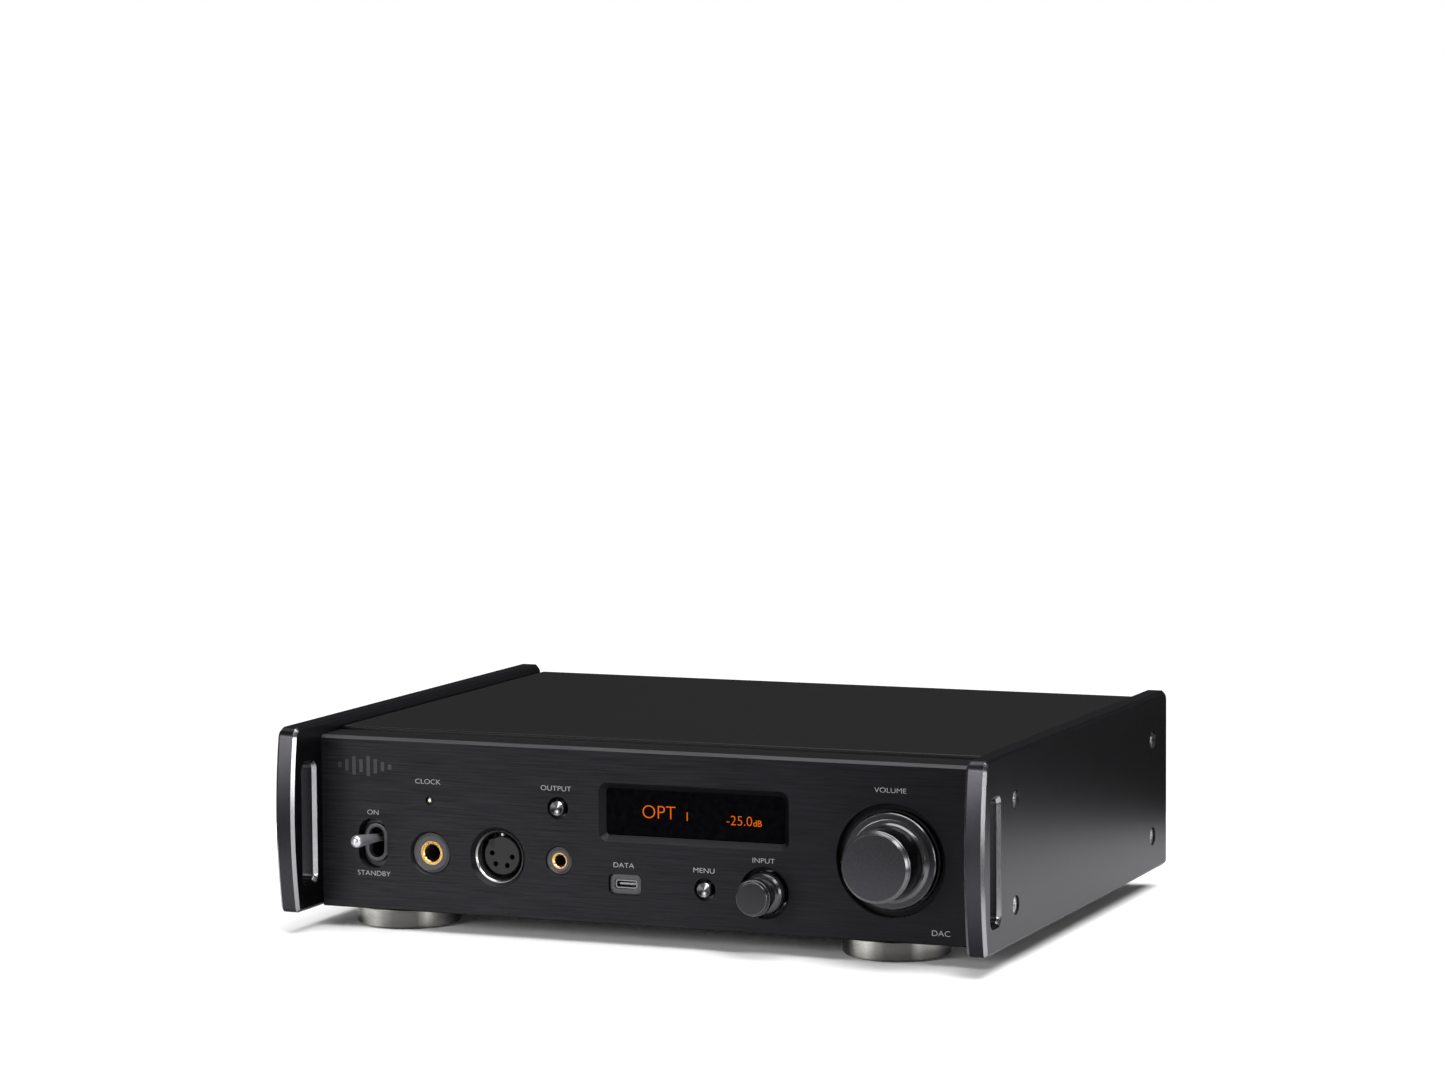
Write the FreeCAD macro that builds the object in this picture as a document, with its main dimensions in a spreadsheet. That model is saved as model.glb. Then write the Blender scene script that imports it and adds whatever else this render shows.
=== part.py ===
import FreeCAD, Part

# Desktop DAC and headphone amplifier, in millimetres.
# +Z is up, +Y points to the rear and the origin is the bottom centre of the bounding box.

import os
import Sketcher

SIZES = {
    # overall
    "case_width": 290.0,
    "case_depth": 206.65,
    "panel_face": -98.0,
    "plate_thickness": 8.0,
    "plate_nose": 20.5,
    "plate_bow": 3.5,
    "plate_base": 8.1,
    "plate_height": 72.4,
    "plate_corner": 4.5,
    "plate_edge": 1.2,
    "slot_front": 15.5,
    "slot_width": 10.0,
    "slot_base": 9.4,
    "slot_top": 14.0,
    "slot_corner": 2.5,
    "slot_edge": 1.4,
    "side_gap": 0.15,
    # front panel
    "panel_base": 7.9,
    "panel_height": 67.7,
    "panel_skin": 5.0,
    "panel_lip": 3.0,
    "panel_return": 16.7,
    "panel_bevel": 1.2,
    "rim_bevel": 0.25,
    # places of the controls, as shares of the case's width and of the panel's height
    "toggle_across": -0.3959,
    "toggle_up": 0.3811,
    "led_across": -0.3107,
    "led_up": 0.6484,
    "jack_up": 0.3427,
    "big_jack_across": -0.3103,
    "xlr_across": -0.2114,
    "small_jack_across": -0.1217,
    "output_across": -0.1224,
    "output_up": 0.6455,
    "lower_up": 0.2304,
    "usb_across": -0.0268,
    "menu_across": 0.0872,
    "input_across": 0.1707,
    "volume_across": 0.3455,
    "volume_up": 0.4535,
    "display_across": 0.0710,
    "display_up": 0.6382,
    "display_width": 0.2531,
    "display_height": 0.2659,
    "display_bevel": 2.4,
    "display_corner": 1.4,
    "window_depth": 2.7,
    "window_lip": 2.0,
    "window_thickness": 2.0,
    # openings and what fills them
    "toggle_width": 12.4,
    "toggle_height": 20.0,
    "lever_slot_width": 6.35,
    "lever_slot_height": 11.9,
    "lever_pivot": 24.0,
    "lever_reach": 40.0,
    "lever_tip": 2.45,
    "lever_root": 1.6,
    "lever_ball": 3.2,
    "lever_pin": 1.0,
    "lever_tilt": 3.5,
    "led_radius": 1.5,
    "big_jack_radius": 7.8,
    "big_jack_bore": 3.25,
    "xlr_radius": 10.2,
    "xlr_plug_radius": 9.4,
    "xlr_insert_radius": 7.62,
    "small_jack_radius": 5.3,
    "small_jack_bore": 2.25,
    "button_hole": 4.15,
    "button_radius": 2.9,
    "button_proud": 1.4,
    "button_travel": 0.7,
    "usb_width": 13.4,
    "usb_height": 8.0,
    "volume_recess": 21.4,
    "volume_flange": 18.2,
    "volume_grip": 13.6,
    "volume_proud": 17.5,
    "input_recess": 9.8,
    "input_flange": 8.0,
    "input_grip": 7.1,
    "input_proud": 13.2,
    "shaft_radius": 3.0,
    "shaft_clearance": 0.05,
    "knob_fit": 0.01,
    "part_gap": 0.2,
    # chassis
    "sheet_metal": 2.0,
    "chassis_top": 73.6,
    "chassis_lip": 12.0,
    "bracket_wall": 3.0,
    "web_depth": 15.1,
    "web_thickness": 1.5,
    "control_board_depth": 21.9,
    "board_thickness": 1.6,
    "board_height": 22.0,
    "cover_thickness": 2.5,
    "cover_lift": 1.0,
    "cover_gap": 1.0,
    "rear_inset": 3.45,
    # feet
    "foot_radius": 20.5,
    "foot_setback": 21.0,
    "foot_pair_shift": -0.0252,
    "foot_pair_half": 0.3528,
    "foot_pad_height": 1.6,
    "foot_lift": 0.5,
    # screws
    "plate_screw_front": 12.8,
    "plate_screw_rear": 20.15,
    "plate_screw_rise": 14.5,
    "plate_screw_pitch": 39.6,
    "plate_screw_head": 3.5,
    "plate_screw_shank": 1.9,
}

X_AXIS = FreeCAD.Vector(1, 0, 0)
Y_AXIS = FreeCAD.Vector(0, 1, 0)
Z_AXIS = FreeCAD.Vector(0, 0, 1)
FULL_TURN = 360.0


class Size:
    """A number together with the spreadsheet expression that it comes from."""

    def __init__(self, value, text=None):
        self.value = float(value)
        self.text = text if text is not None else repr(float(value))

    def _join(self, other, sign, value):
        return Size(value, f"({self.text} {sign} {other.text})")

    def __add__(self, other):
        other = as_size(other)
        return self._join(other, "+", self.value + other.value)

    def __sub__(self, other):
        other = as_size(other)
        return self._join(other, "-", self.value - other.value)

    def __mul__(self, other):
        other = as_size(other)
        return self._join(other, "*", self.value * other.value)

    def __truediv__(self, other):
        other = as_size(other)
        return self._join(other, "/", self.value / other.value)

    def __radd__(self, other):
        return as_size(other) + self

    def __rsub__(self, other):
        return as_size(other) - self

    def __rmul__(self, other):
        return as_size(other) * self

    def __neg__(self):
        return as_size(0.0) - self


def as_size(number):
    return number if isinstance(number, Size) else Size(number)


doc = FreeCAD.newDocument("desktop_dac")
sheet = doc.addObject("Spreadsheet::Sheet", "Dims")


def fill_sheet():
    """Writes each driving size as a plain number with its alias."""
    for row, (name, value) in enumerate(SIZES.items(), start=1):
        sheet.set(f"A{row}", name)
        sheet.set(f"B{row}", str(value))
        sheet.setAlias(f"B{row}", name)
    doc.recompute()


class Dims:
    """Reads a driving size by its alias, such as dims.case_width."""

    def __getattr__(self, name):
        return Size(sheet.get(name), f"Dims.{name}")


fill_sheet()
dims = Dims()
nodes = []


# ---------------------------------------------------------------- helpers

def bind(item, prop, number):
    item.setExpression(prop, as_size(number).text)


def place(item, x=0.0, y=0.0, z=0.0):
    for axis, number in zip("xyz", (x, y, z)):
        bind(item, f"Placement.Base.{axis}", number)


def keep(item, name):
    """Registers a finished sub-part under its node name."""
    item.Label = name
    nodes.append(item)
    return item


def body(name, x=0.0, y=0.0, z=0.0):
    item = doc.addObject("PartDesign::Body", name)
    place(item, x, y, z)
    return keep(item, name)


def sketch(item, plane, x=0.0, y=0.0, lift=0.0):
    """A sketch on one of the body's origin planes, shifted in that plane and lifted off it."""
    drawing = item.newObject("Sketcher::SketchObject", "Sketch")
    support = [face for face in item.Origin.OriginFeatures if face.Role == plane][0]
    drawing.AttachmentSupport = [(support, "")]
    drawing.MapMode = "FlatFace"
    for axis, number in zip("xyz", (x, y, lift)):
        bind(drawing, f".AttachmentOffset.Base.{axis}", number)
    return drawing


def dimension(drawing, constraint, number):
    index = drawing.addConstraint(constraint)
    bind(drawing, f"Constraints[{index}]", number)


def circle(drawing, radius):
    radius = as_size(radius)
    index = drawing.addGeometry(Part.Circle(FreeCAD.Vector(), Z_AXIS, radius.value))
    drawing.addConstraint(Sketcher.Constraint("Coincident", index, 3, -1, 1))
    dimension(drawing, Sketcher.Constraint("Radius", index, radius.value), radius)


def rectangle(drawing, width, height):
    """A rectangle centred on the sketch's origin."""
    width = as_size(width)
    height = as_size(height)
    half_w = width.value / 2
    half_h = height.value / 2
    corners = [(-half_w, -half_h), (half_w, -half_h), (half_w, half_h), (-half_w, half_h)]
    points = [FreeCAD.Vector(x, y, 0) for x, y in corners]
    lines = [drawing.addGeometry(Part.LineSegment(points[i], points[(i + 1) % 4])) for i in range(4)]
    for i in range(4):
        drawing.addConstraint(Sketcher.Constraint("Coincident", lines[i], 2, lines[(i + 1) % 4], 1))
        kind = "Horizontal" if i % 2 == 0 else "Vertical"
        drawing.addConstraint(Sketcher.Constraint(kind, lines[i]))
    drawing.addConstraint(Sketcher.Constraint("Symmetric", lines[0], 1, lines[1], 2, -1, 1))
    dimension(drawing, Sketcher.Constraint("DistanceX", lines[0], 1, lines[0], 2, width.value), width)
    dimension(drawing, Sketcher.Constraint("DistanceY", lines[1], 1, lines[1], 2, height.value), height)


def stadium(drawing, width, height):
    """An upright slot with round ends, centred on the sketch's origin."""
    width = as_size(width)
    height = as_size(height)
    radius = width.value / 2
    rise = height.value / 2 - radius
    right_angle = 1.5707963267948966
    up = FreeCAD.Vector(0, rise, 0)
    down = FreeCAD.Vector(0, -rise, 0)
    side = FreeCAD.Vector(radius, 0, 0)
    top = drawing.addGeometry(Part.ArcOfCircle(Part.Circle(up, Z_AXIS, radius), 0, 2 * right_angle))
    left = drawing.addGeometry(Part.LineSegment(up - side, down - side))
    low_arc = Part.ArcOfCircle(Part.Circle(down, Z_AXIS, radius), 2 * right_angle, 4 * right_angle)
    bottom = drawing.addGeometry(low_arc)
    right = drawing.addGeometry(Part.LineSegment(down + side, up + side))
    drawing.addConstraint(Sketcher.Constraint("Tangent", top, 2, left, 1))
    drawing.addConstraint(Sketcher.Constraint("Tangent", left, 2, bottom, 1))
    drawing.addConstraint(Sketcher.Constraint("Tangent", bottom, 2, right, 1))
    drawing.addConstraint(Sketcher.Constraint("Tangent", right, 2, top, 1))
    drawing.addConstraint(Sketcher.Constraint("Symmetric", top, 3, bottom, 3, -1, 1))
    drawing.addConstraint(Sketcher.Constraint("Vertical", left))
    dimension(drawing, Sketcher.Constraint("Radius", top, radius), width / 2)
    dimension(drawing, Sketcher.Constraint("DistanceY", bottom, 3, top, 3, 2 * rise), height - width)


def fix_point(drawing, line, end, x, y):
    """Dimensions one end of a line from the sketch's origin."""
    if x.value == 0.0:
        drawing.addConstraint(Sketcher.Constraint("PointOnObject", line, end, -2))
    else:
        dimension(drawing, Sketcher.Constraint("DistanceX", -1, 1, line, end, x.value), x)
    if y.value == 0.0:
        drawing.addConstraint(Sketcher.Constraint("PointOnObject", line, end, -1))
    else:
        dimension(drawing, Sketcher.Constraint("DistanceY", -1, 1, line, end, y.value), y)


def outline(drawing, corners):
    """A closed outline of straight lines through the dimensioned corners."""
    corners = [(as_size(x), as_size(y)) for x, y in corners]
    points = [FreeCAD.Vector(x.value, y.value, 0) for x, y in corners]
    count = len(points)
    spans = [Part.LineSegment(points[i], points[(i + 1) % count]) for i in range(count)]
    lines = [drawing.addGeometry(span) for span in spans]
    for i in range(count):
        drawing.addConstraint(Sketcher.Constraint("Coincident", lines[i], 2, lines[(i + 1) % count], 1))
    for line, (x, y) in zip(lines, corners):
        fix_point(drawing, line, 1, x, y)


def pad(item, drawing, length, both_ways=False, reverse=False):
    feature = item.newObject("PartDesign::Pad", "Pad")
    feature.Profile = drawing
    bind(feature, "Length", length)
    feature.Midplane = both_ways
    feature.Reversed = reverse
    item.Tip = feature
    doc.recompute()
    return feature


def pocket(item, drawing, length, reverse=False):
    """Cuts the sketch into the body and makes sure that it took material away."""
    before = item.Shape.Volume
    feature = item.newObject("PartDesign::Pocket", "Pocket")
    feature.Profile = drawing
    bind(feature, "Length", length)
    feature.Reversed = reverse
    item.Tip = feature
    doc.recompute()
    if item.Shape.Volume >= before:
        raise ValueError(f"a pocket in {item.Label} removed nothing")
    return feature


def revolve(item, drawing):
    """Turns the sketch a full turn about its vertical axis."""
    feature = item.newObject("PartDesign::Revolution", "Revolution")
    feature.Profile = drawing
    feature.ReferenceAxis = (drawing, ["V_Axis"])
    feature.Angle = FULL_TURN
    item.Tip = feature
    doc.recompute()
    return feature


def dress(item, kind, radius, wanted):
    """Adds a Fillet or Chamfer to each edge of the body that the test wants."""
    base = item.Tip
    names = [f"Edge{i}" for i, edge in enumerate(base.Shape.Edges, start=1) if wanted(edge)]
    feature = item.newObject(f"PartDesign::{kind}", kind)
    feature.Base = (base, names)
    bind(feature, "Radius" if kind == "Fillet" else "Size", radius)
    item.Tip = feature
    doc.recompute()
    return feature


def lies_at(edge, axis, value):
    """True where the whole edge lies in the plane axis = value."""
    box = edge.BoundBox
    low = getattr(box, axis.upper() + "Min")
    high = getattr(box, axis.upper() + "Max")
    return abs(low - value) < 1e-4 and abs(high - value) < 1e-4


def is_circle(edge, radius):
    return hasattr(edge.Curve, "Radius") and abs(edge.Curve.Radius - radius) < 1e-4


def box(size, corner):
    item = doc.addObject("Part::Box", "Box")
    for prop, number in zip(("Length", "Width", "Height"), size):
        bind(item, prop, number)
    place(item, *corner)
    return item


def centred_box(size, centre_x, front_y, centre_z):
    """A box centred across and up, whose front face stands at front_y."""
    return box(size, (centre_x - as_size(size[0]) / 2, front_y, centre_z - as_size(size[2]) / 2))


TURNS = {"x": FreeCAD.Rotation(Y_AXIS, 90), "y": FreeCAD.Rotation(X_AXIS, -90), "z": FreeCAD.Rotation()}


def rod(radius, length, start, axis="z"):
    """A cylinder that runs from its start point along +x, +y or +z."""
    item = doc.addObject("Part::Cylinder", "Rod")
    item.Placement.Rotation = TURNS[axis]
    bind(item, "Radius", radius)
    bind(item, "Height", length)
    place(item, *start)
    return item


def fuse(parts):
    item = doc.addObject("Part::MultiFuse", "Fusion")
    item.Shapes = parts
    return item


def cut(base, tools):
    item = doc.addObject("Part::Cut", "Cut")
    item.Base = base
    item.Tool = tools[0] if len(tools) == 1 else fuse(tools)
    return item


def group(parts):
    item = doc.addObject("Part::Compound", "Group")
    item.Links = parts
    return item


def tube(outer, inner, length, start, axis):
    """A cylinder with a through bore."""
    shift = {"x": (-1, 0, 0), "y": (0, -1, 0), "z": (0, 0, -1)}[axis]
    low = tuple(as_size(number) + step for number, step in zip(start, shift))
    return cut(rod(outer, length, start, axis), [rod(inner, as_size(length) + 2, low, axis)])


# ---------------------------------------------------------------- shared places

FACE = dims.panel_face
INNER_HALF = dims.case_width / 2 - dims.plate_thickness
SHELL_HALF = INNER_HALF - dims.side_gap
PLATE_TOP = dims.plate_base + dims.plate_height
PANEL_TOP = dims.panel_base + dims.panel_height
REAR_FACE = FACE + dims.case_depth - dims.rear_inset
REAR_SKIN = REAR_FACE - dims.sheet_metal
FLOOR_TOP = dims.panel_base + dims.sheet_metal
SHAFT_BORE = dims.shaft_radius + dims.shaft_clearance
XLR_HOLE = dims.xlr_radius + dims.part_gap
XLR_RECESS_BEVEL = 1.34
BIG_JACK_BEVEL = 0.74


def across(share):
    return dims.case_width * share


def upward(share):
    return dims.panel_base + dims.panel_height * share


def back(depth):
    return FACE + depth


TOGGLE = (across(dims.toggle_across), upward(dims.toggle_up))
LED = (across(dims.led_across), upward(dims.led_up))
BIG_JACK = (across(dims.big_jack_across), upward(dims.jack_up))
XLR = (across(dims.xlr_across), upward(dims.jack_up))
SMALL_JACK = (across(dims.small_jack_across), upward(dims.jack_up))
OUTPUT = (across(dims.output_across), upward(dims.output_up))
USB_C = (across(dims.usb_across), upward(dims.lower_up))
MENU = (across(dims.menu_across), upward(dims.lower_up))
INPUT = (across(dims.input_across), upward(dims.lower_up))
VOLUME = (across(dims.volume_across), upward(dims.volume_up))
DISPLAY = (across(dims.display_across), upward(dims.display_up))
DISPLAY_SIZE = (
    dims.case_width * dims.display_width,
    dims.panel_height * dims.display_height,
)


# ---------------------------------------------------------------- front panel and display

def front_hole(item, spot, draw, depth, start=0.0):
    """Cuts a shape straight back into an upright plate, from start to start plus depth."""
    drawing = sketch(item, "XZ_Plane", spot[0], spot[1], -as_size(start))
    draw(drawing)
    pocket(item, drawing, depth)


def make_front_panel():
    """A channel-shaped extrusion with every control's opening."""
    item = body("front_panel", 0.0, FACE, 0.0)
    profile = sketch(item, "YZ_Plane")
    low = dims.panel_base
    outline(profile, [
        (0.0, low),
        (dims.panel_return, low),
        (dims.panel_return, low + dims.panel_lip),
        (dims.panel_skin, low + dims.panel_lip),
        (dims.panel_skin, PANEL_TOP - dims.panel_lip),
        (dims.panel_return, PANEL_TOP - dims.panel_lip),
        (dims.panel_return, PANEL_TOP),
        (0.0, PANEL_TOP),
    ])
    pad(item, profile, SHELL_HALF * 2, both_ways=True)
    for bevel, height in ((dims.panel_bevel, PANEL_TOP.value), (dims.panel_bevel / 2, low.value)):
        dress(item, "Chamfer", bevel, lambda e: lies_at(e, "y", 0) and lies_at(e, "z", height))
    skin = dims.panel_skin + 0.1
    round_holes = [
        (LED, dims.led_radius + dims.part_gap),
        (BIG_JACK, dims.big_jack_radius + dims.part_gap),
        (XLR, XLR_HOLE),
        (SMALL_JACK, dims.small_jack_radius + dims.part_gap),
        (OUTPUT, dims.button_hole),
        (MENU, dims.button_hole),
        (INPUT, dims.input_recess),
        (VOLUME, dims.volume_recess),
    ]
    for spot, radius in round_holes:
        front_hole(item, spot, lambda drawing: circle(drawing, radius), skin, -0.1)
    front_hole(item, TOGGLE, lambda d: stadium(d, dims.toggle_width, dims.toggle_height), skin, -0.1)
    front_hole(item, USB_C, lambda d: rectangle(d, dims.usb_width, dims.usb_height), skin, -0.1)
    front_hole(item, DISPLAY, lambda d: rectangle(d, *DISPLAY_SIZE), skin, -0.1)
    rebate = [number + dims.window_lip * 2 for number in DISPLAY_SIZE]
    front_hole(item, DISPLAY, lambda d: rectangle(d, *rebate), dims.panel_skin, dims.window_depth)
    bevel_holes(item)
    return item


def bevel_holes(item):
    """Breaks the front edge of each opening, and opens the display's frame to a wide bevel."""
    x_mid, z_mid = DISPLAY[0].value, DISPLAY[1].value
    wide, tall = DISPLAY_SIZE[0].value, DISPLAY_SIZE[1].value

    def near_display(edge):
        spot = edge.BoundBox.Center
        return abs(spot.x - x_mid) < wide / 2 + 1 and abs(spot.z - z_mid) < tall / 2 + 1

    def frame_corner(edge):
        box_ = edge.BoundBox
        on_x = abs(abs(box_.Center.x - x_mid) - wide / 2) < 0.01
        on_z = abs(abs(box_.Center.z - z_mid) - tall / 2) < 0.01
        return box_.YLength > 1 and box_.YMin < 0.01 and on_x and on_z

    def usb_corner(edge):
        box_ = edge.BoundBox
        on_x = abs(abs(box_.Center.x - USB_C[0].value) - dims.usb_width.value / 2) < 0.01
        on_z = abs(abs(box_.Center.z - USB_C[1].value) - dims.usb_height.value / 2) < 0.01
        return box_.YLength > 1 and on_x and on_z

    dress(item, "Fillet", dims.display_corner, frame_corner)
    dress(item, "Fillet", dims.usb_height / 4, usb_corner)
    dress(item, "Chamfer", dims.display_bevel, lambda e: lies_at(e, "y", 0) and near_display(e))
    xlr_edge = XLR_HOLE.value
    dress(item, "Chamfer", XLR_RECESS_BEVEL, lambda e: lies_at(e, "y", 0) and is_circle(e, xlr_edge))
    big_edge = (dims.big_jack_radius + dims.part_gap).value
    dress(item, "Chamfer", BIG_JACK_BEVEL, lambda e: lies_at(e, "y", 0) and is_circle(e, big_edge))
    small_rims = [dims.button_hole.value, dims.input_recess.value, dims.volume_recess.value]
    small_rims.append((dims.small_jack_radius + dims.part_gap).value)
    dress(item, "Chamfer", dims.rim_bevel,
          lambda e: lies_at(e, "y", 0) and any(is_circle(e, radius) for radius in small_rims))


def make_display():
    """The glass pane in its rebate, and the display module behind it."""
    pane = [number + dims.window_lip * 2 - dims.part_gap for number in DISPLAY_SIZE]
    glass = body("display_window", DISPLAY[0], back(dims.window_depth), DISPLAY[1])
    face = sketch(glass, "XZ_Plane")
    rectangle(face, *pane)
    pad(glass, face, dims.window_thickness, reverse=True)

    module = body("display_module", DISPLAY[0], back(dims.panel_skin + 0.3), DISPLAY[1])
    card = sketch(module, "XZ_Plane")
    rectangle(card, DISPLAY_SIZE[0] + 8, DISPLAY_SIZE[1] + 6)
    pad(module, card, 1.6, reverse=True)
    glass_cell = sketch(module, "XZ_Plane", 0.0, 0.0, -1.6)
    rectangle(glass_cell, DISPLAY_SIZE[0] - 2, DISPLAY_SIZE[1] + 2)
    pad(module, glass_cell, 2.4, reverse=True)


# ---------------------------------------------------------------- shells

def plate_outline(drawing):
    """The side plate seen from the side, with a bowed front edge."""
    low = dims.plate_base
    front = -dims.plate_nose
    rear = dims.case_depth
    bow_radius = dims.plate_height * dims.plate_height / (dims.plate_bow * 8) + dims.plate_bow / 2
    y_front, y_rear = front.value, rear.value
    z_low, z_top = low.value, PLATE_TOP.value
    nose = FreeCAD.Vector(y_front - dims.plate_bow.value, (z_low + z_top) / 2, 0)
    corners = [FreeCAD.Vector(y, z, 0) for y, z in
               [(y_front, z_low), (y_rear, z_low), (y_rear, z_top), (y_front, z_top)]]
    lines = [drawing.addGeometry(Part.LineSegment(corners[i], corners[i + 1])) for i in range(3)]
    bow = drawing.addGeometry(Part.Arc(corners[3], nose, corners[0]))
    for first, second in zip(lines, lines[1:]):
        drawing.addConstraint(Sketcher.Constraint("Coincident", first, 2, second, 1))
    drawing.addConstraint(Sketcher.Constraint("Coincident", bow, 1, lines[2], 2))
    drawing.addConstraint(Sketcher.Constraint("Coincident", bow, 2, lines[0], 1))
    fix_point(drawing, lines[0], 1, front, low)
    fix_point(drawing, lines[1], 1, rear, low)
    fix_point(drawing, lines[2], 1, rear, PLATE_TOP)
    fix_point(drawing, lines[2], 2, front, PLATE_TOP)
    dimension(drawing, Sketcher.Constraint("Radius", bow, bow_radius.value), bow_radius)


def plate_screw_spots():
    """Depth and height of the four screws in each side plate."""
    low = dims.plate_base + dims.plate_screw_rise
    high = low + dims.plate_screw_pitch
    front = dims.plate_screw_front
    rear = dims.case_depth - dims.plate_screw_rear
    return [(front, low), (front, high), (rear, low), (rear, high)]


def make_side_plate(name, side):
    """One side plate, with its finger slot and four counterbored screw holes."""
    inner = INNER_HALF if side > 0 else -INNER_HALF
    item = body(name, inner, FACE, 0.0)
    profile = sketch(item, "YZ_Plane")
    plate_outline(profile)
    pad(item, profile, dims.plate_thickness, reverse=side < 0)
    y_rear = dims.case_depth.value
    z_low, z_top = dims.plate_base.value, PLATE_TOP.value
    outer = side * dims.plate_thickness.value

    def across_edge(edge, heights, depths):
        box_ = edge.BoundBox
        at_height = any(abs(box_.Center.z - value) < 0.01 for value in heights)
        at_depth = any(abs(box_.Center.y - value) < 0.01 for value in depths)
        return box_.XLength > 1 and at_height and at_depth

    y_front = -dims.plate_nose.value
    dress(item, "Fillet", dims.plate_corner, lambda e: across_edge(e, [z_top], [y_front, y_rear]))
    dress(item, "Fillet", dims.plate_corner / 2, lambda e: across_edge(e, [z_low], [y_front, y_rear]))
    dress(item, "Chamfer", dims.plate_edge,
          lambda e: (lies_at(e, "x", 0) or lies_at(e, "x", outer)) and e.BoundBox.YMin < 0)

    slot_y = dims.slot_width / 2 - dims.slot_front
    slot_height = dims.plate_height - dims.slot_base - dims.slot_top - dims.slot_edge * 2
    middle = dims.plate_base + dims.slot_base + dims.slot_edge + slot_height / 2
    cut_depth = dims.plate_thickness + 0.2
    lift = side * -0.1
    slot = sketch(item, "YZ_Plane", slot_y, middle, lift)
    rectangle(slot, dims.slot_width, slot_height)
    pocket(item, slot, cut_depth, reverse=side > 0)
    y_slot = slot_y.value

    def slot_corner(edge):
        box_ = edge.BoundBox
        on_y = abs(abs(box_.Center.y - y_slot) - dims.slot_width.value / 2) < 0.01
        on_z = abs(abs(box_.Center.z - middle.value) - slot_height.value / 2) < 0.01
        return box_.XLength > 1 and on_y and on_z

    def slot_rim(edge):
        box_ = edge.BoundBox
        inside = abs(box_.Center.y - y_slot) < dims.slot_width.value and box_.ZLength < slot_height.value + 0.1
        in_span = abs(box_.Center.z - middle.value) < slot_height.value / 2 + 0.1
        return (lies_at(edge, "x", 0) or lies_at(edge, "x", outer)) and inside and in_span

    dress(item, "Fillet", dims.slot_corner, slot_corner)
    dress(item, "Chamfer", dims.slot_edge, slot_rim)
    for depth, height in plate_screw_spots():
        through = sketch(item, "YZ_Plane", depth, height, lift)
        circle(through, dims.plate_screw_shank + 0.2)
        pocket(item, through, cut_depth, reverse=side > 0)
        outside = sketch(item, "YZ_Plane", depth, height, side * (dims.plate_thickness - 4))
        circle(outside, dims.plate_screw_head + 0.2)
        pocket(item, outside, 4.1, reverse=side > 0)


def make_side_plate_screws():
    """Eight button-head screws that hold the plates, four to a side."""
    screws = []
    for side in (-1, 1):
        head_x = side * (dims.case_width / 2 - 4)
        for depth, height in plate_screw_spots():
            y, z = back(depth), height
            start = head_x if side > 0 else head_x - 3.2
            head = rod(dims.plate_screw_head, 3.2, (start, y, z), "x")
            reach = dims.plate_thickness + 2
            tail = head_x - reach if side > 0 else head_x
            shank = rod(dims.plate_screw_shank, reach, (tail, y, z), "x")
            key_x = head_x + 1.6 if side > 0 else head_x - 3.3
            key = rod(1.25, 1.7, (key_x, y, z), "x")
            screws.append(cut(fuse([head, shank]), [key]))
    keep(group(screws), "side_plate_screws")


def make_bottom_chassis():
    """A folded tray: floor, two walls and inward lips that carry the cover."""
    item = body("bottom_chassis", 0.0, back(dims.panel_return + 0.3), 0.0)
    metal = dims.sheet_metal
    low = dims.panel_base
    top = dims.chassis_top
    wall = SHELL_HALF - metal
    lip = SHELL_HALF - dims.chassis_lip
    profile = sketch(item, "XZ_Plane")
    outline(profile, [
        (-SHELL_HALF, low), (SHELL_HALF, low), (SHELL_HALF, top), (lip, top), (lip, top - metal),
        (wall, top - metal), (wall, low + metal), (-wall, low + metal), (-wall, top - metal),
        (-lip, top - metal), (-lip, top), (-SHELL_HALF, top),
    ])
    length = REAR_SKIN - back(dims.panel_return + 0.3) - 0.2
    pad(item, profile, length, reverse=True)
    local = -dims.panel_return - 0.3
    for depth, height in plate_screw_spots()[2:]:
        hole = sketch(item, "YZ_Plane", local + depth, height, -dims.case_width / 2)
        circle(hole, dims.plate_screw_shank + 0.05)
        pocket(item, hole, dims.case_width, reverse=True)
    for x, y in foot_spots():
        hole = sketch(item, "XY_Plane", x, y - back(dims.panel_return + 0.3), 0.0)
        circle(hole, 2.1)
        pocket(item, hole, FLOOR_TOP + 0.1, reverse=True)
    for x, y in standoff_spots() + transformer_spots():
        hole = sketch(item, "XY_Plane", x, y - back(dims.panel_return + 0.3), 0.0)
        circle(hole, 1.6)
        pocket(item, hole, FLOOR_TOP + 0.1, reverse=True)


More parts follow.
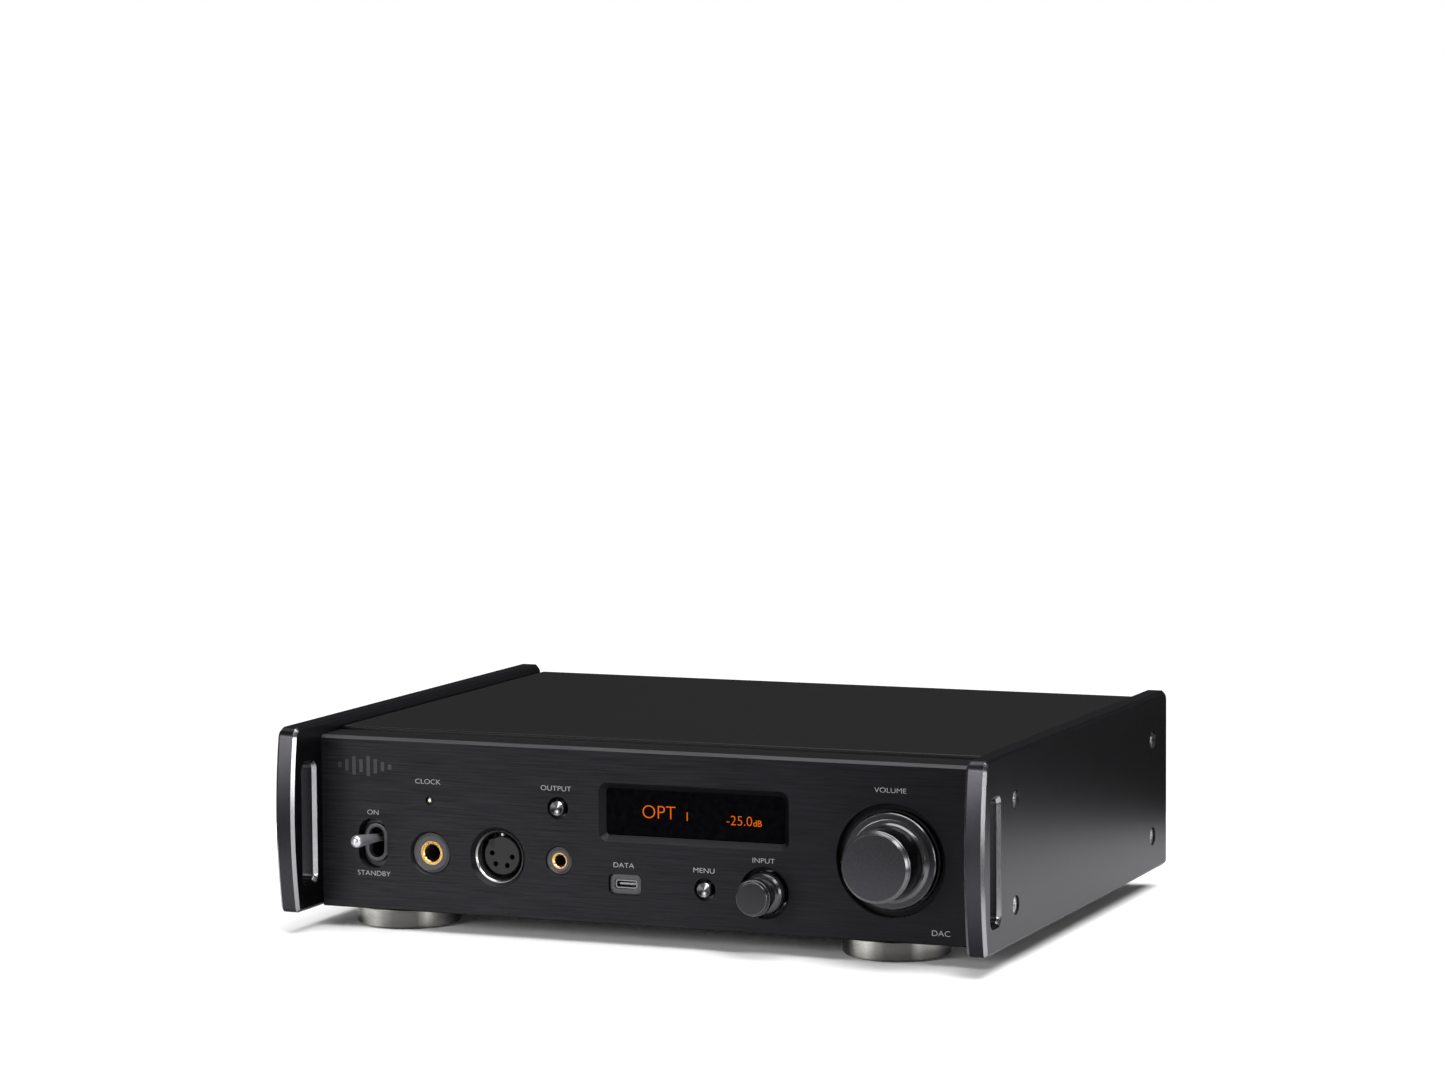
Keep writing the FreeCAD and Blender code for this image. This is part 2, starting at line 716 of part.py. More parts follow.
def make_inner_front_chassis():
    """The upright bracket behind the panel that carries the controls."""
    item = body("inner_front_chassis", 0.0, FACE, 0.0)
    low = dims.panel_base + dims.panel_lip + 0.3
    high = PANEL_TOP - dims.panel_lip - 0.3
    tall = high - low
    web_back = dims.web_depth + dims.web_thickness
    plan = sketch(item, "XY_Plane", 0.0, 0.0, low)
    wall = dims.bracket_wall
    flange = dims.panel_skin + 1
    outline(plan, [
        (-SHELL_HALF, flange), (wall - SHELL_HALF, flange), (wall - SHELL_HALF, dims.web_depth),
        (SHELL_HALF - wall, dims.web_depth), (SHELL_HALF - wall, flange), (SHELL_HALF, flange),
        (SHELL_HALF, web_back), (-SHELL_HALF, web_back),
    ])
    pad(item, plan, tall)
    web = dims.web_thickness + 0.2
    start = dims.web_depth - 0.1
    round_holes = [
        (LED, 2.2), (BIG_JACK, dims.big_jack_radius + 0.3), (XLR, dims.xlr_radius + 0.3),
        (SMALL_JACK, dims.small_jack_radius + 0.3), (OUTPUT, 2.4), (MENU, 2.4),
        (INPUT, 4.7), (VOLUME, 4.7),
    ]
    for spot, radius in round_holes:
        front_hole(item, spot, lambda drawing: circle(drawing, radius), web, start)
    front_hole(item, TOGGLE, lambda d: rectangle(d, 15.4, 22.4), web, start)
    front_hole(item, USB_C, lambda d: rectangle(d, 10.0, 4.4), web, start)
    for depth, height in plate_screw_spots()[:2]:
        hole = sketch(item, "YZ_Plane", depth, height, -dims.case_width / 2)
        circle(hole, dims.plate_screw_shank + 0.05)
        pocket(item, hole, dims.case_width, reverse=True)


def make_top_cover():
    """The raised lid, and the soft pads that it sits on."""
    lid_z = dims.chassis_top + dims.cover_lift
    start = back(dims.panel_return + 0.3)
    length = FACE + dims.case_depth - 0.65 - start
    item = body("top_cover", 0.0, start + length / 2, lid_z)
    plan = sketch(item, "XY_Plane")
    rectangle(plan, (INNER_HALF - dims.cover_gap) * 2, length)
    pad(item, plan, dims.cover_thickness)
    lid_top = dims.cover_thickness.value
    dress(item, "Chamfer", 0.5, lambda e: lies_at(e, "z", lid_top))

    pads = []
    x = SHELL_HALF - dims.chassis_lip / 2
    for side in (-1, 1):
        for share in (0.12, 0.5, 0.88):
            pads.append(rod(4.0, dims.cover_lift, (side * x, start + length * share, dims.chassis_top)))
    keep(group(pads), "top_cover_pads")


# ---------------------------------------------------------------- feet

def foot_spots():
    """Front pair and one rear foot, all on the pair's own centre line."""
    middle = across(dims.foot_pair_shift)
    half = across(dims.foot_pair_half)
    front = back(dims.foot_setback)
    rear = FACE + dims.case_depth - 32
    return [(middle - half, front), (middle + half, front), (middle, rear)]


def make_feet():
    """Three turned discs, each with a soft ring underneath and a screw through its centre."""
    pads = []
    screws = []
    names = ("foot_front_left", "foot_front_right", "foot_rear")
    top = dims.panel_base
    for name, (x, y) in zip(names, foot_spots()):
        item = body(name, x, y, 0.0)
        half = sketch(item, "XZ_Plane")
        pad_r = dims.foot_radius - 2.4
        outline(half, [
            (2.2, top), (dims.foot_radius - 0.4, top), (dims.foot_radius, top - 0.4),
            (dims.foot_radius, dims.foot_lift + 0.6), (dims.foot_radius - 0.6, dims.foot_lift),
            (pad_r, dims.foot_lift), (pad_r, dims.foot_pad_height), (4.3, dims.foot_pad_height),
            (4.3, 4.6), (2.2, 4.6),
        ])
        revolve(item, half)
        pads.append(tube(pad_r - 0.1, 5.0, dims.foot_pad_height, (x, y, 0.0), "z"))
        shank = rod(1.95, FLOOR_TOP + 2 - 4.6, (x, y, 4.6))
        head = rod(3.6, 2.4, (x, y, 2.2))
        screws.append(fuse([shank, head]))
    keep(group(pads), "foot_pads")
    keep(group(screws), "foot_screws")


# ---------------------------------------------------------------- knobs, buttons and the power toggle

def make_volume_knob():
    """The wide-flanged volume knob, turned from solid and hollow behind."""
    item = body("volume_knob", VOLUME[0], FACE, VOLUME[1])
    front = -dims.volume_proud
    grip = dims.volume_grip
    flange = dims.volume_flange
    bore = dims.shaft_radius + dims.knob_fit
    half = sketch(item, "XY_Plane")
    outline(half, [
        (0.0, front), (grip - 0.6, front), (grip, front + 0.6), (grip, front + 1.4),
        (grip - 0.3, front + 1.5), (grip - 0.3, front + 1.8), (grip, front + 1.9), (grip, -3.6),
        (grip + 0.9, -2.4), (grip + 2.6, -1.5), (flange - 0.2, -1.0), (flange, -0.8), (flange, 2.6),
        (11.0, 2.6), (11.0, front + 9), (bore, front + 9), (bore, front + 5), (0.0, front + 5),
    ])
    revolve(item, half)
    make_shaft("volume_shaft", VOLUME, dims.volume_proud - 5.1)
    make_encoder("volume_encoder", VOLUME, 13.0)

    ring = body("volume_ring", VOLUME[0], FACE, VOLUME[1])
    section = sketch(ring, "XY_Plane")
    inner = flange + 0.4
    outline(section, [
        (inner, 0.8), (inner + 0.7, 0.8), (inner + 0.7, 3.4), (dims.volume_recess - 0.1, 3.4),
        (dims.volume_recess - 0.1, dims.panel_skin), (inner, dims.panel_skin),
    ])
    revolve(ring, section)


def make_input_knob():
    """The small selector knob: a round flange, a waist and a grooved cap."""
    item = body("input_knob", INPUT[0], FACE, INPUT[1])
    front = -dims.input_proud
    grip = dims.input_grip
    flange = dims.input_flange
    bore = dims.shaft_radius + dims.knob_fit
    half = sketch(item, "XY_Plane")
    outline(half, [
        (0.0, front), (grip - 1.2, front), (grip - 0.8, front + 0.3), (grip - 0.6, front + 0.9),
        (grip - 0.9, front + 1.0), (grip - 0.9, front + 1.4), (grip - 0.2, front + 1.5),
        (grip, front + 1.9), (grip, front + 4.0), (grip - 0.3, front + 4.3), (grip - 1.6, front + 4.3),
        (grip - 1.6, -2.6), (flange - 1.2, -1.7), (flange - 0.3, -0.9), (flange, 0.2), (flange, 2.6),
        (bore, 2.6), (bore, front + 4), (0.0, front + 4),
    ])
    revolve(item, half)
    make_shaft("input_shaft", INPUT, dims.input_proud - 4.1)
    make_encoder("input_encoder", INPUT, 11.0)

    ring = body("input_ring", INPUT[0], FACE, INPUT[1])
    section = sketch(ring, "XY_Plane")
    outline(section, [
        (flange + 0.5, 3.4), (dims.input_recess - 0.1, 3.4),
        (dims.input_recess - 0.1, dims.panel_skin), (flange + 0.5, dims.panel_skin),
    ])
    revolve(ring, section)


def make_shaft(name, spot, reach):
    """A plain shaft from inside the knob to the end of the encoder's bore."""
    length = reach + dims.control_board_depth - 1
    keep(rod(dims.shaft_radius, length, (spot[0], FACE - reach, spot[1]), "y"), name)


def make_encoder(name, spot, width):
    """A rotary encoder: a square can behind the bracket and a bushing through it."""
    can_front = dims.web_depth + dims.web_thickness
    can_size = (width, dims.control_board_depth - can_front, width)
    can = centred_box(can_size, spot[0], back(can_front), spot[1])
    bushing_front = (spot[0], back(dims.panel_skin + 0.4), spot[1])
    bushing = rod(4.5, can_front - dims.panel_skin - 0.4, bushing_front, "y")
    bore_front = (spot[0], back(dims.panel_skin + 0.1), spot[1])
    bore = rod(SHAFT_BORE, dims.control_board_depth - dims.panel_skin - 0.7, bore_front, "y")
    keep(cut(fuse([can, bushing]), [bore]), name)


def make_encoder_nuts():
    """The hexagon nut that clamps each encoder's bushing to the bracket."""
    nuts = []
    for spot in (INPUT, VOLUME):
        prism = doc.addObject("Part::Prism", "Hexagon")
        prism.Polygon = 6
        prism.Circumradius = 6.4
        prism.Height = 2.2
        prism.Placement.Rotation = TURNS["y"]
        place(prism, spot[0], back(dims.web_depth - 2.2), spot[1])
        hole = rod(4.55, 3.0, (spot[0], back(dims.web_depth - 2.6), spot[1]), "y")
        nuts.append(cut(prism, [hole]))
    keep(group(nuts), "encoder_nuts")


def make_button(name, spot):
    """A turned button: a dished cap, a retaining flange and a stem towards its switch."""
    item = body(name, spot[0], FACE, spot[1])
    radius = dims.button_radius
    front = -dims.button_proud
    flange_front = dims.panel_skin + 0.4
    half = sketch(item, "XY_Plane")
    outline(half, [
        (0.0, front + 0.5), (radius - 0.35, front), (radius, front + 0.35), (radius, flange_front),
        (dims.button_hole + 0.8, flange_front), (dims.button_hole + 0.8, flange_front + 1.2),
        (1.8, flange_front + 1.2), (1.8, 17.2), (0.0, 17.2),
    ])
    revolve(item, half)


def make_switches():
    """The two tactile switches that the buttons press."""
    switches = []
    for spot in (OUTPUT, MENU):
        can = centred_box((6.2, 3.0, 6.2), spot[0], back(dims.control_board_depth - 3.0), spot[1])
        plunger = rod(1.7, 1.0, (spot[0], back(dims.control_board_depth - 3.8), spot[1]), "y")
        switches.append(fuse([can, plunger]))
    keep(group(switches), "button_switches")


def make_toggle():
    """The bat-handled power toggle, its housing and the dished frame round its slot."""
    x, z = TOGGLE
    pivot_z = z + 0.5
    lever = body("power_toggle_lever", x, back(dims.lever_pivot), pivot_z)
    lever.Placement.Rotation = FreeCAD.Rotation(X_AXIS, 0)
    bind(lever, "Placement.Rotation.Angle", -dims.lever_tilt)
    lever_reach = dims.lever_reach
    tip = dims.lever_tip
    root = dims.lever_root
    half = sketch(lever, "XY_Plane")
    outline(half, [
        (0.0, -lever_reach), (tip - 1.2, 0.35 - lever_reach), (tip - 0.3, 1.2 - lever_reach),
        (tip, 2.4 - lever_reach), (tip - 0.1, 4.5 - lever_reach), (root, 19 - lever_reach),
        (root, -3.0), (0.0, -3.0),
    ])
    revolve(lever, half)
    ball = sketch(lever, "YZ_Plane")
    circle(ball, dims.lever_ball)
    pad(lever, ball, dims.lever_slot_width - 0.6, both_ways=True)
    pin = sketch(lever, "YZ_Plane")
    circle(pin, dims.lever_pin)
    pad(lever, pin, 12.0, both_ways=True)

    front = dims.panel_skin + 1.5
    housing = centred_box((15.0, 28.0, 22.0), x, back(front), z)
    cavity_size = (dims.lever_slot_width + 0.4, 25.0, dims.lever_slot_height + 1.4)
    cavity = centred_box(cavity_size, x, back(front - 0.5), z)
    pin_start = (x - 8, back(dims.lever_pivot), pivot_z)
    pin_hole = rod(dims.lever_pin + dims.shaft_clearance, 16.0, pin_start, "x")
    keep(cut(housing, [cavity, pin_hole]), "toggle_switch_body")

    bezel = body("toggle_bezel", x, FACE, z)
    base = sketch(bezel, "XZ_Plane", 0.0, 0.0, -4.6)
    stadium(base, dims.toggle_width - 0.3, dims.toggle_height - 0.3)
    pad(bezel, base, dims.panel_skin + 1.4 - 4.6, reverse=True)
    collar = sketch(bezel, "XZ_Plane", 0.0, 0.0, -3.0)
    stadium(collar, dims.toggle_width - 2.6, dims.toggle_height - 4.8)
    pad(bezel, collar, 1.6, reverse=True)
    slot = sketch(bezel, "XZ_Plane", 0.0, 0.0, -2.9)
    stadium(slot, dims.lever_slot_width, dims.lever_slot_height)
    pocket(bezel, slot, 4.0)


# ---------------------------------------------------------------- sockets on the front

def make_socket(name, ring_name, spot, radius, bore, front, ring_radius, depth):
    """A headphone socket: a dished barrel with a plated ring round its bore."""
    item = body(name, spot[0], FACE, spot[1])
    half = sketch(item, "XY_Plane")
    outline(half, [
        (bore, front + 2.6), (ring_radius, front + 2.6), (ring_radius, front + 0.6),
        (radius - 1.2, front + 0.6), (radius - 0.6, front), (radius, front + 0.3),
        (radius, depth), (0.0, depth), (0.0, depth - 2), (bore, depth - 2),
    ])
    revolve(item, half)
    ring = body(ring_name, spot[0], FACE, spot[1])
    section = sketch(ring, "XY_Plane")
    outer = ring_radius - 0.02
    outline(section, [
        (bore, front + 0.8), (bore + 0.4, front + 0.4), (outer, front + 0.4), (outer, front + 2.58),
        (bore, front + 2.58),
    ])
    revolve(ring, section)


def make_xlr_socket():
    """The four-pole balanced socket: a metal shell and a moulded insert with pin holes."""
    x, z = XLR
    shell = body("headphone_xlr_shell", x, FACE, z)
    half = sketch(shell, "XY_Plane")
    outline(half, [
        (dims.xlr_plug_radius, 2.2), (dims.xlr_plug_radius + 0.4, 1.8), (dims.xlr_radius, 1.8),
        (dims.xlr_radius, 32.0), (0.0, 32.0), (0.0, 30.0), (dims.xlr_plug_radius, 30.0),
    ])
    revolve(shell, half)

    insert = body("headphone_xlr_insert", x, FACE, z)
    face = sketch(insert, "XZ_Plane", 0.0, 0.0, -4.4)
    circle(face, dims.xlr_insert_radius)
    pad(insert, face, 25.6, reverse=True)
    front_y = 4.4
    dress(insert, "Chamfer", 0.4, lambda e: lies_at(e, "y", front_y))
    pin_circle = 4.3
    for turn in (168, 230, 300, 356):
        spoke = FreeCAD.Rotation(Z_AXIS, turn).multVec(FreeCAD.Vector(pin_circle, 0, 0))
        front_hole(insert, (spoke.x, spoke.y), lambda d: circle(d, 1.05), 14.0, front_y - 0.1)


def make_usb_c():
    """The front data port: a plated shell with a tongue, in a moulded surround."""
    x, z = USB_C
    surround = body("usb_c_bezel", x, back(1.2), z)
    outside = sketch(surround, "XZ_Plane")
    rectangle(outside, dims.usb_width - 0.3, dims.usb_height - 0.3)
    pad(surround, outside, 3.8, reverse=True)
    dress(surround, "Fillet", dims.usb_height / 4, lambda e: e.BoundBox.YLength > 1)
    front_hole(surround, (0.0, 0.0), lambda d: rectangle(d, 9.4, 3.6), 4.0, -0.1)
    dress(surround, "Fillet", 1.2, lambda e: e.BoundBox.YLength > 1 and abs(e.BoundBox.Center.z) < 2.0)

    shell = body("usb_c_socket", x, back(1.8), z)
    rim = sketch(shell, "XZ_Plane")
    rectangle(rim, 9.0, 3.2)
    pad(shell, rim, 20.0, reverse=True)
    dress(shell, "Fillet", 1.1, lambda e: e.BoundBox.YLength > 1)
    front_hole(shell, (0.0, 0.0), lambda d: rectangle(d, 8.2, 2.4), 7.0, -0.1)
    dress(shell, "Fillet", 0.8, lambda e: 1 < e.BoundBox.YLength < 8)
    tongue = sketch(shell, "XZ_Plane", 0.0, 0.0, -1.2)
    rectangle(tongue, 6.6, 0.7)
    pad(shell, tongue, 6.0, reverse=True)


def make_clock_led():
    """The indicator lamp and the light pipe that leads it back to the board."""
    x, z = LED
    lamp = body("clock_led", x, FACE, z)
    half = sketch(lamp, "XY_Plane")
    radius = dims.led_radius
    end = dims.control_board_depth
    outline(half, [
        (0.0, 0.1), (radius * 0.75, 0.4), (radius, 1.1), (radius, 8.0), (1.1, 8.0), (1.1, end), (0.0, end),
    ])
    revolve(lamp, half)


# ---------------------------------------------------------------- circuit boards and power

def make_front_control_board():
    """The upright board behind the controls, notched round the headphone sockets."""
    item = body("front_control_board", 0.0, back(dims.control_board_depth), 0.0)
    low = dims.panel_base + dims.panel_lip + 1.5
    high = PANEL_TOP - dims.panel_lip - 1.5
    notch = XLR[1] + dims.xlr_radius + 1.5
    left = LED[0] - 6
    step = USB_C[0] - 11
    right = VOLUME[0] + 22
    face = sketch(item, "XZ_Plane")
    outline(face, [(left, notch), (step, notch), (step, low), (right, low), (right, high), (left, high)])
    pad(item, face, dims.board_thickness, reverse=True)


def board_areas():
    """Name, left, right, front and rear of each horizontal board."""
    inside = REAR_SKIN - back(dims.panel_return)
    rear = REAR_SKIN - 3

    def deep(share):
        return back(dims.panel_return) + inside * share

    return [
        ("main_dac_board", across(-0.19), across(0.445), deep(0.44), rear),
        ("power_supply_board", across(-0.445), across(-0.215), deep(0.44), rear),
        ("headphone_amp_board", across(-0.36), across(-0.045), deep(0.14), deep(0.40)),
    ]


def standoff_spots():
    """The corners of every horizontal board, five millimetres in."""
    spots = []
    for _, left, right, front, rear in board_areas():
        for x in (left + 5, right - 5):
            for y in (front + 5, rear - 5):
                spots.append((x, y))
    return spots


def make_boards():
    """Three horizontal boards, their standoffs and the screws that hold them."""
    floor = FLOOR_TOP
    level = dims.board_height
    thick = dims.board_thickness
    for name, left, right, front, rear in board_areas():
        board = box((right - left, rear - front, thick), (left, front, level))
        holes = []
        for x in (left + 5, right - 5):
            for y in (front + 5, rear - 5):
                holes.append(rod(1.7, thick + 2, (x, y, level - 1)))
        keep(cut(board, holes), name)
    posts = []
    screws = []
    for x, y in standoff_spots():
        post = rod(3.0, level - floor, (x, y, floor))
        posts.append(cut(post, [rod(1.5, 8.1, (x, y, level - 8))]))
        head = rod(2.7, 1.8, (x, y, level + thick))
        screws.append(fuse([head, rod(1.45, thick + 6, (x, y, level - 6))]))
    keep(group(posts), "board_standoffs")
    keep(group(screws), "board_screws")


def transformer_spots():
    depth = back(dims.panel_return) + (REAR_SKIN - back(dims.panel_return)) * 0.235
    return [(across(0.115), depth), (across(0.335), depth)]


def make_transformers():
    """Two toroidal transformers, one for the digital side and one for the analogue side."""
    radius = dims.case_width * 0.09
    tall = dims.panel_height * 0.46
    bolts = []
    for name, (x, y) in zip(("transformer_left", "transformer_right"), transformer_spots()):
        item = body(name, x, y, FLOOR_TOP)
        half = sketch(item, "XZ_Plane")
        soft = 4.0
        inner = radius * 0.3
        outline(half, [
            (inner, soft), (inner + soft, 0.0), (radius - soft, 0.0), (radius, soft),
            (radius, tall - soft), (radius - soft, tall), (inner + soft, tall), (inner, tall - soft),
        ])
        revolve(item, half)
        washer = rod(radius * 0.62, 1.2, (x, y, FLOOR_TOP + tall))
        head = rod(4.0, 3.0, (x, y, FLOOR_TOP + tall + 1.2))
        shank = rod(1.5, tall + 2 + 1.2, (x, y, FLOOR_TOP - 2))
        bolts.append(fuse([washer, head, shank]))
    keep(group(bolts), "transformer_bolts")


def make_power_parts():
    """Reservoir capacitors and a finned heatsink on the power supply board."""
    _, left, right, front, rear = board_areas()[1]
    wide = right - left
    deep = rear - front
    top = dims.board_height + dims.board_thickness
    cans = []
    for share_x in (0.3, 0.72):
        for share_y in (0.16, 0.38):
            spot = (left + wide * share_x, front + deep * share_y, top)
            cans.append(rod(wide * 0.14, dims.panel_height * 0.4, spot))
    keep(group(cans), "power_capacitors")
    base = box((wide * 0.5, 3.0, dims.panel_height * 0.45), (left + wide * 0.25, front + deep * 0.62, top))
    fins = [base]
    for index in range(5):
        fin_x = left + wide * (0.25 + 0.11875 * index)
        fins.append(box((wide * 0.025, 12.0, dims.panel_height * 0.45), (fin_x, front + deep * 0.62, top)))
    keep(fuse(fins), "heatsink")


# ---------------------------------------------------------------- rear panel

REAR_XLR = 11.2


def rear_layout():
    """Centres of the rear connectors."""
    upper = upward(0.62)
    lower = upward(0.40)
    return {
        "xlr_output_left": (across(0.400), upper),
        "xlr_output_right": (across(0.270), upper),
        "rca_outputs": (across(0.150), upward(0.56)),
        "clock_input": (across(0.065), lower),
        "coaxial_input": (across(0.005), lower),
        "optical_input": (across(-0.050), lower),
        "usb_b_input": (across(-0.115), lower),
        "ac_inlet": (across(-0.360), upward(0.56)),
    }


def make_rear_panel():
    """The flat rear panel with an opening for every connector."""
    low = dims.panel_base
    high = dims.chassis_top + 0.7
    item = body("rear_panel", 0.0, REAR_SKIN, 0.0)
    face = sketch(item, "XZ_Plane", 0.0, (low + high) / 2)
    rectangle(face, SHELL_HALF * 2, high - low)
    pad(item, face, dims.sheet_metal, reverse=True)
    spots = rear_layout()
    metal = dims.sheet_metal + 0.2
    for name in ("xlr_output_left", "xlr_output_right"):
        front_hole(item, spots[name], lambda d: circle(d, REAR_XLR + 0.2), metal, -0.1)
    x, z = spots["rca_outputs"]
    for rise in (-9.0, 9.0):
        front_hole(item, (x, z + rise), lambda d: circle(d, 5.2), metal, -0.1)
    front_hole(item, spots["clock_input"], lambda d: circle(d, 5.2), metal, -0.1)
    front_hole(item, spots["coaxial_input"], lambda d: circle(d, 5.2), metal, -0.1)
    front_hole(item, spots["optical_input"], lambda d: rectangle(d, 10.4, 10.4), metal, -0.1)
    front_hole(item, spots["usb_b_input"], lambda d: rectangle(d, 12.8, 11.6), metal, -0.1)
    front_hole(item, spots["ac_inlet"], lambda d: rectangle(d, 27.4, 19.8), metal, -0.1)
    for x, z in rear_screw_spots():
        front_hole(item, (x, z), lambda d: circle(d, 1.7), metal, -0.1)


def rear_screw_spots():
    """The panel's screws, in the tray's fixing tabs near each corner."""
    side = SHELL_HALF - 6
    return [(-side, upward(0.08)), (side, upward(0.08)), (-side, upward(0.90)), (side, upward(0.90))]


def make_rear_screws():
    """Four screws, each in a nut block behind the rear panel."""
    screws = []
    for x, z in rear_screw_spots():
        head = rod(2.8, 1.6, (x, REAR_FACE, z), "y")
        shank = rod(1.5, dims.sheet_metal + 5, (x, REAR_FACE - dims.sheet_metal - 5, z), "y")
        screws.append(fuse([head, shank]))
    keep(group(screws), "rear_panel_screws")


def make_rear_xlr(name, spot):
    """A three-pin balanced output: flange, barrel and pins."""
    x, z = spot
    flange = centred_box((26.0, 1.6, 29.0), x, REAR_FACE, z)
    barrel = rod(REAR_XLR, 14.0, (x, REAR_FACE - 14, z), "y")
    bore = rod(9.5, 13.0, (x, REAR_FACE - 11, z), "y")
    solid = cut(fuse([flange, barrel]), [bore])
    pins = []
    for turn in (90, 210, 330):
        spoke = FreeCAD.Rotation(Z_AXIS, turn).multVec(FreeCAD.Vector(4.8, 0, 0))
        pins.append(rod(1.2, 10.0, (x + spoke.x, REAR_FACE - 11.5, z + spoke.y), "y"))
    keep(fuse([solid] + pins), name)


def phono(x, z):
    """One phono jack: hexagon seat, threaded collar and hollow barrel."""
    seat = rod(5.8, 1.5, (x, REAR_FACE, z), "y")
    barrel = rod(4.15, 13.0, (x, REAR_FACE + 1, z), "y")
    neck = rod(4.8, 8.0, (x, REAR_FACE - 8, z), "y")
    bore = rod(1.7, 11.0, (x, REAR_FACE + 4, z), "y")
    return cut(fuse([seat, barrel, neck]), [bore])


def make_rear_connectors():
    spots = rear_layout()
    make_rear_xlr("xlr_output_left", spots["xlr_output_left"])
    make_rear_xlr("xlr_output_right", spots["xlr_output_right"])
    x, z = spots["rca_outputs"]
    block = centred_box((12.0, 12.0, 34.0), x, REAR_SKIN - 12.5, z)
    keep(fuse([block, phono(x, z - 9), phono(x, z + 9)]), "rca_outputs")
    x, z = spots["coaxial_input"]
    keep(phono(x, z), "coaxial_input")

    x, z = spots["clock_input"]
    seat = rod(6.4, 1.5, (x, REAR_FACE, z), "y")
    barrel = rod(4.8, 24.8, (x, REAR_FACE - 8, z), "y")
    lugs = rod(1.0, 12.0, (x - 6, REAR_FACE + 12, z), "x")
    bore = rod(3.6, 8.0, (x, REAR_FACE + 9.5, z), "y")
    pin = rod(0.7, 7.0, (x, REAR_FACE + 9, z), "y")
    keep(fuse([cut(fuse([seat, barrel, lugs]), [bore]), pin]), "clock_input")

    x, z = spots["optical_input"]
    block = centred_box((10.0, 14.0, 10.0), x, REAR_FACE - 13, z)
    port = centred_box((6.4, 6.0, 6.4), x, REAR_FACE - 3.6, z)
    keep(cut(block, [port]), "optical_input")

    x, z = spots["usb_b_input"]
    block = centred_box((12.4, 17.0, 11.2), x, REAR_FACE - 16.5, z)
    port = centred_box((9.0, 9.0, 8.0), x, REAR_FACE - 8, z)
    tongue = centred_box((5.6, 8.0, 3.2), x, REAR_FACE - 8.5, z)
    keep(fuse([cut(block, [port]), tongue]), "usb_b_input")

    x, z = spots["ac_inlet"]
    flange = centred_box((50.0, 3.0, 23.0), x, REAR_FACE, z)
    shroud = centred_box((27.0, 20.0, 19.4), x, REAR_FACE - 19, z)
    well = centred_box((24.4, 19.0, 16.6), x, REAR_FACE - 14, z)
    blades = []
    for step_x, step_z in ((-7.0, -2.0), (7.0, -2.0), (0.0, 2.0)):
        blades.append(centred_box((2.0, 12.0, 4.0), x + step_x, REAR_FACE - 15, z + step_z))
    keep(fuse([cut(fuse([flange, shroud]), [well])] + blades), "ac_inlet")


# ---------------------------------------------------------------- build and write

def build_all():
    make_front_panel()
    make_display()
    make_side_plate("left_side_plate", -1)
    make_side_plate("right_side_plate", 1)
    make_side_plate_screws()
    make_top_cover()
    make_bottom_chassis()
    make_inner_front_chassis()
    make_rear_panel()
    make_rear_screws()
    make_feet()
    make_volume_knob()
    make_input_knob()
    make_encoder_nuts()
    make_button("output_button", OUTPUT)
    make_button("menu_button", MENU)
    make_switches()
    make_toggle()
    make_socket("headphone_jack_63", "jack_ring_63", BIG_JACK, dims.big_jack_radius,
                dims.big_jack_bore, 0.9, 4.7, 36.0)
    make_socket("headphone_jack_44", "jack_ring_44", SMALL_JACK, dims.small_jack_radius,
                dims.small_jack_bore, 0.4, 3.15, 28.0)
    make_xlr_socket()
    make_usb_c()
    make_clock_led()
    make_front_control_board()
    make_boards()
    make_transformers()
    make_power_parts()
    make_rear_connectors()
    doc.recompute()


def check_and_write():
    """Stops on any broken object, then writes one file per node."""
    for item in doc.Objects:
        if "Invalid" in item.State or "Error" in item.State:
            raise ValueError(f"{item.Label} failed to build")
    os.makedirs("parts", exist_ok=True)
    for item in nodes:
        shape = item.Shape
        if shape.isNull() or not shape.isValid():
            raise ValueError(f"{item.Label} is not a valid shape")
        shape.exportStep(f"parts/{item.Label}.step")


build_all()
check_and_write()
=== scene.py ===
import math

import bmesh
import bpy
from mathutils import Matrix, Vector


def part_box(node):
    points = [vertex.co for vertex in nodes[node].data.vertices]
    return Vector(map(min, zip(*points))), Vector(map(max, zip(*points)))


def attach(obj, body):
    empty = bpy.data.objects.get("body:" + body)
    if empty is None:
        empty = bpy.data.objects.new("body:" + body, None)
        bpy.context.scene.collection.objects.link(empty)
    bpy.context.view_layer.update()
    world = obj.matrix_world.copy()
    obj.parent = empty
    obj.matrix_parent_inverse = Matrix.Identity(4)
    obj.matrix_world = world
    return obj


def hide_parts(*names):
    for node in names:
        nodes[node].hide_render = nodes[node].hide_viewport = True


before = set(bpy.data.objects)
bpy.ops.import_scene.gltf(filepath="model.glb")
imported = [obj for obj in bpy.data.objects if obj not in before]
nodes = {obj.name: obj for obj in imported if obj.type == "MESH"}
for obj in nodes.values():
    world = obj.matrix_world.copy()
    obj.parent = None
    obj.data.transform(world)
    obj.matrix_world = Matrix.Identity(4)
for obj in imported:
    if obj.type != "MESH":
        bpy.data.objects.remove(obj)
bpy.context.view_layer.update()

MM = 0.001

# ---------------------------------------------------------------- places, all read from the frame


def middle(node):
    low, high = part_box(node)
    return (Vector(low) + Vector(high)) / 2


def size_of(node):
    low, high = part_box(node)
    return Vector(high) - Vector(low)


FACE_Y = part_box("front_panel")[0][1]

# ---------------------------------------------------------------- node material helpers


GRAIN_LOW = 0.3
GRAIN_HIGH = 0.7
GRAIN_DEPTH = 0.00002
BRUSH_DEPTH = 0.00001


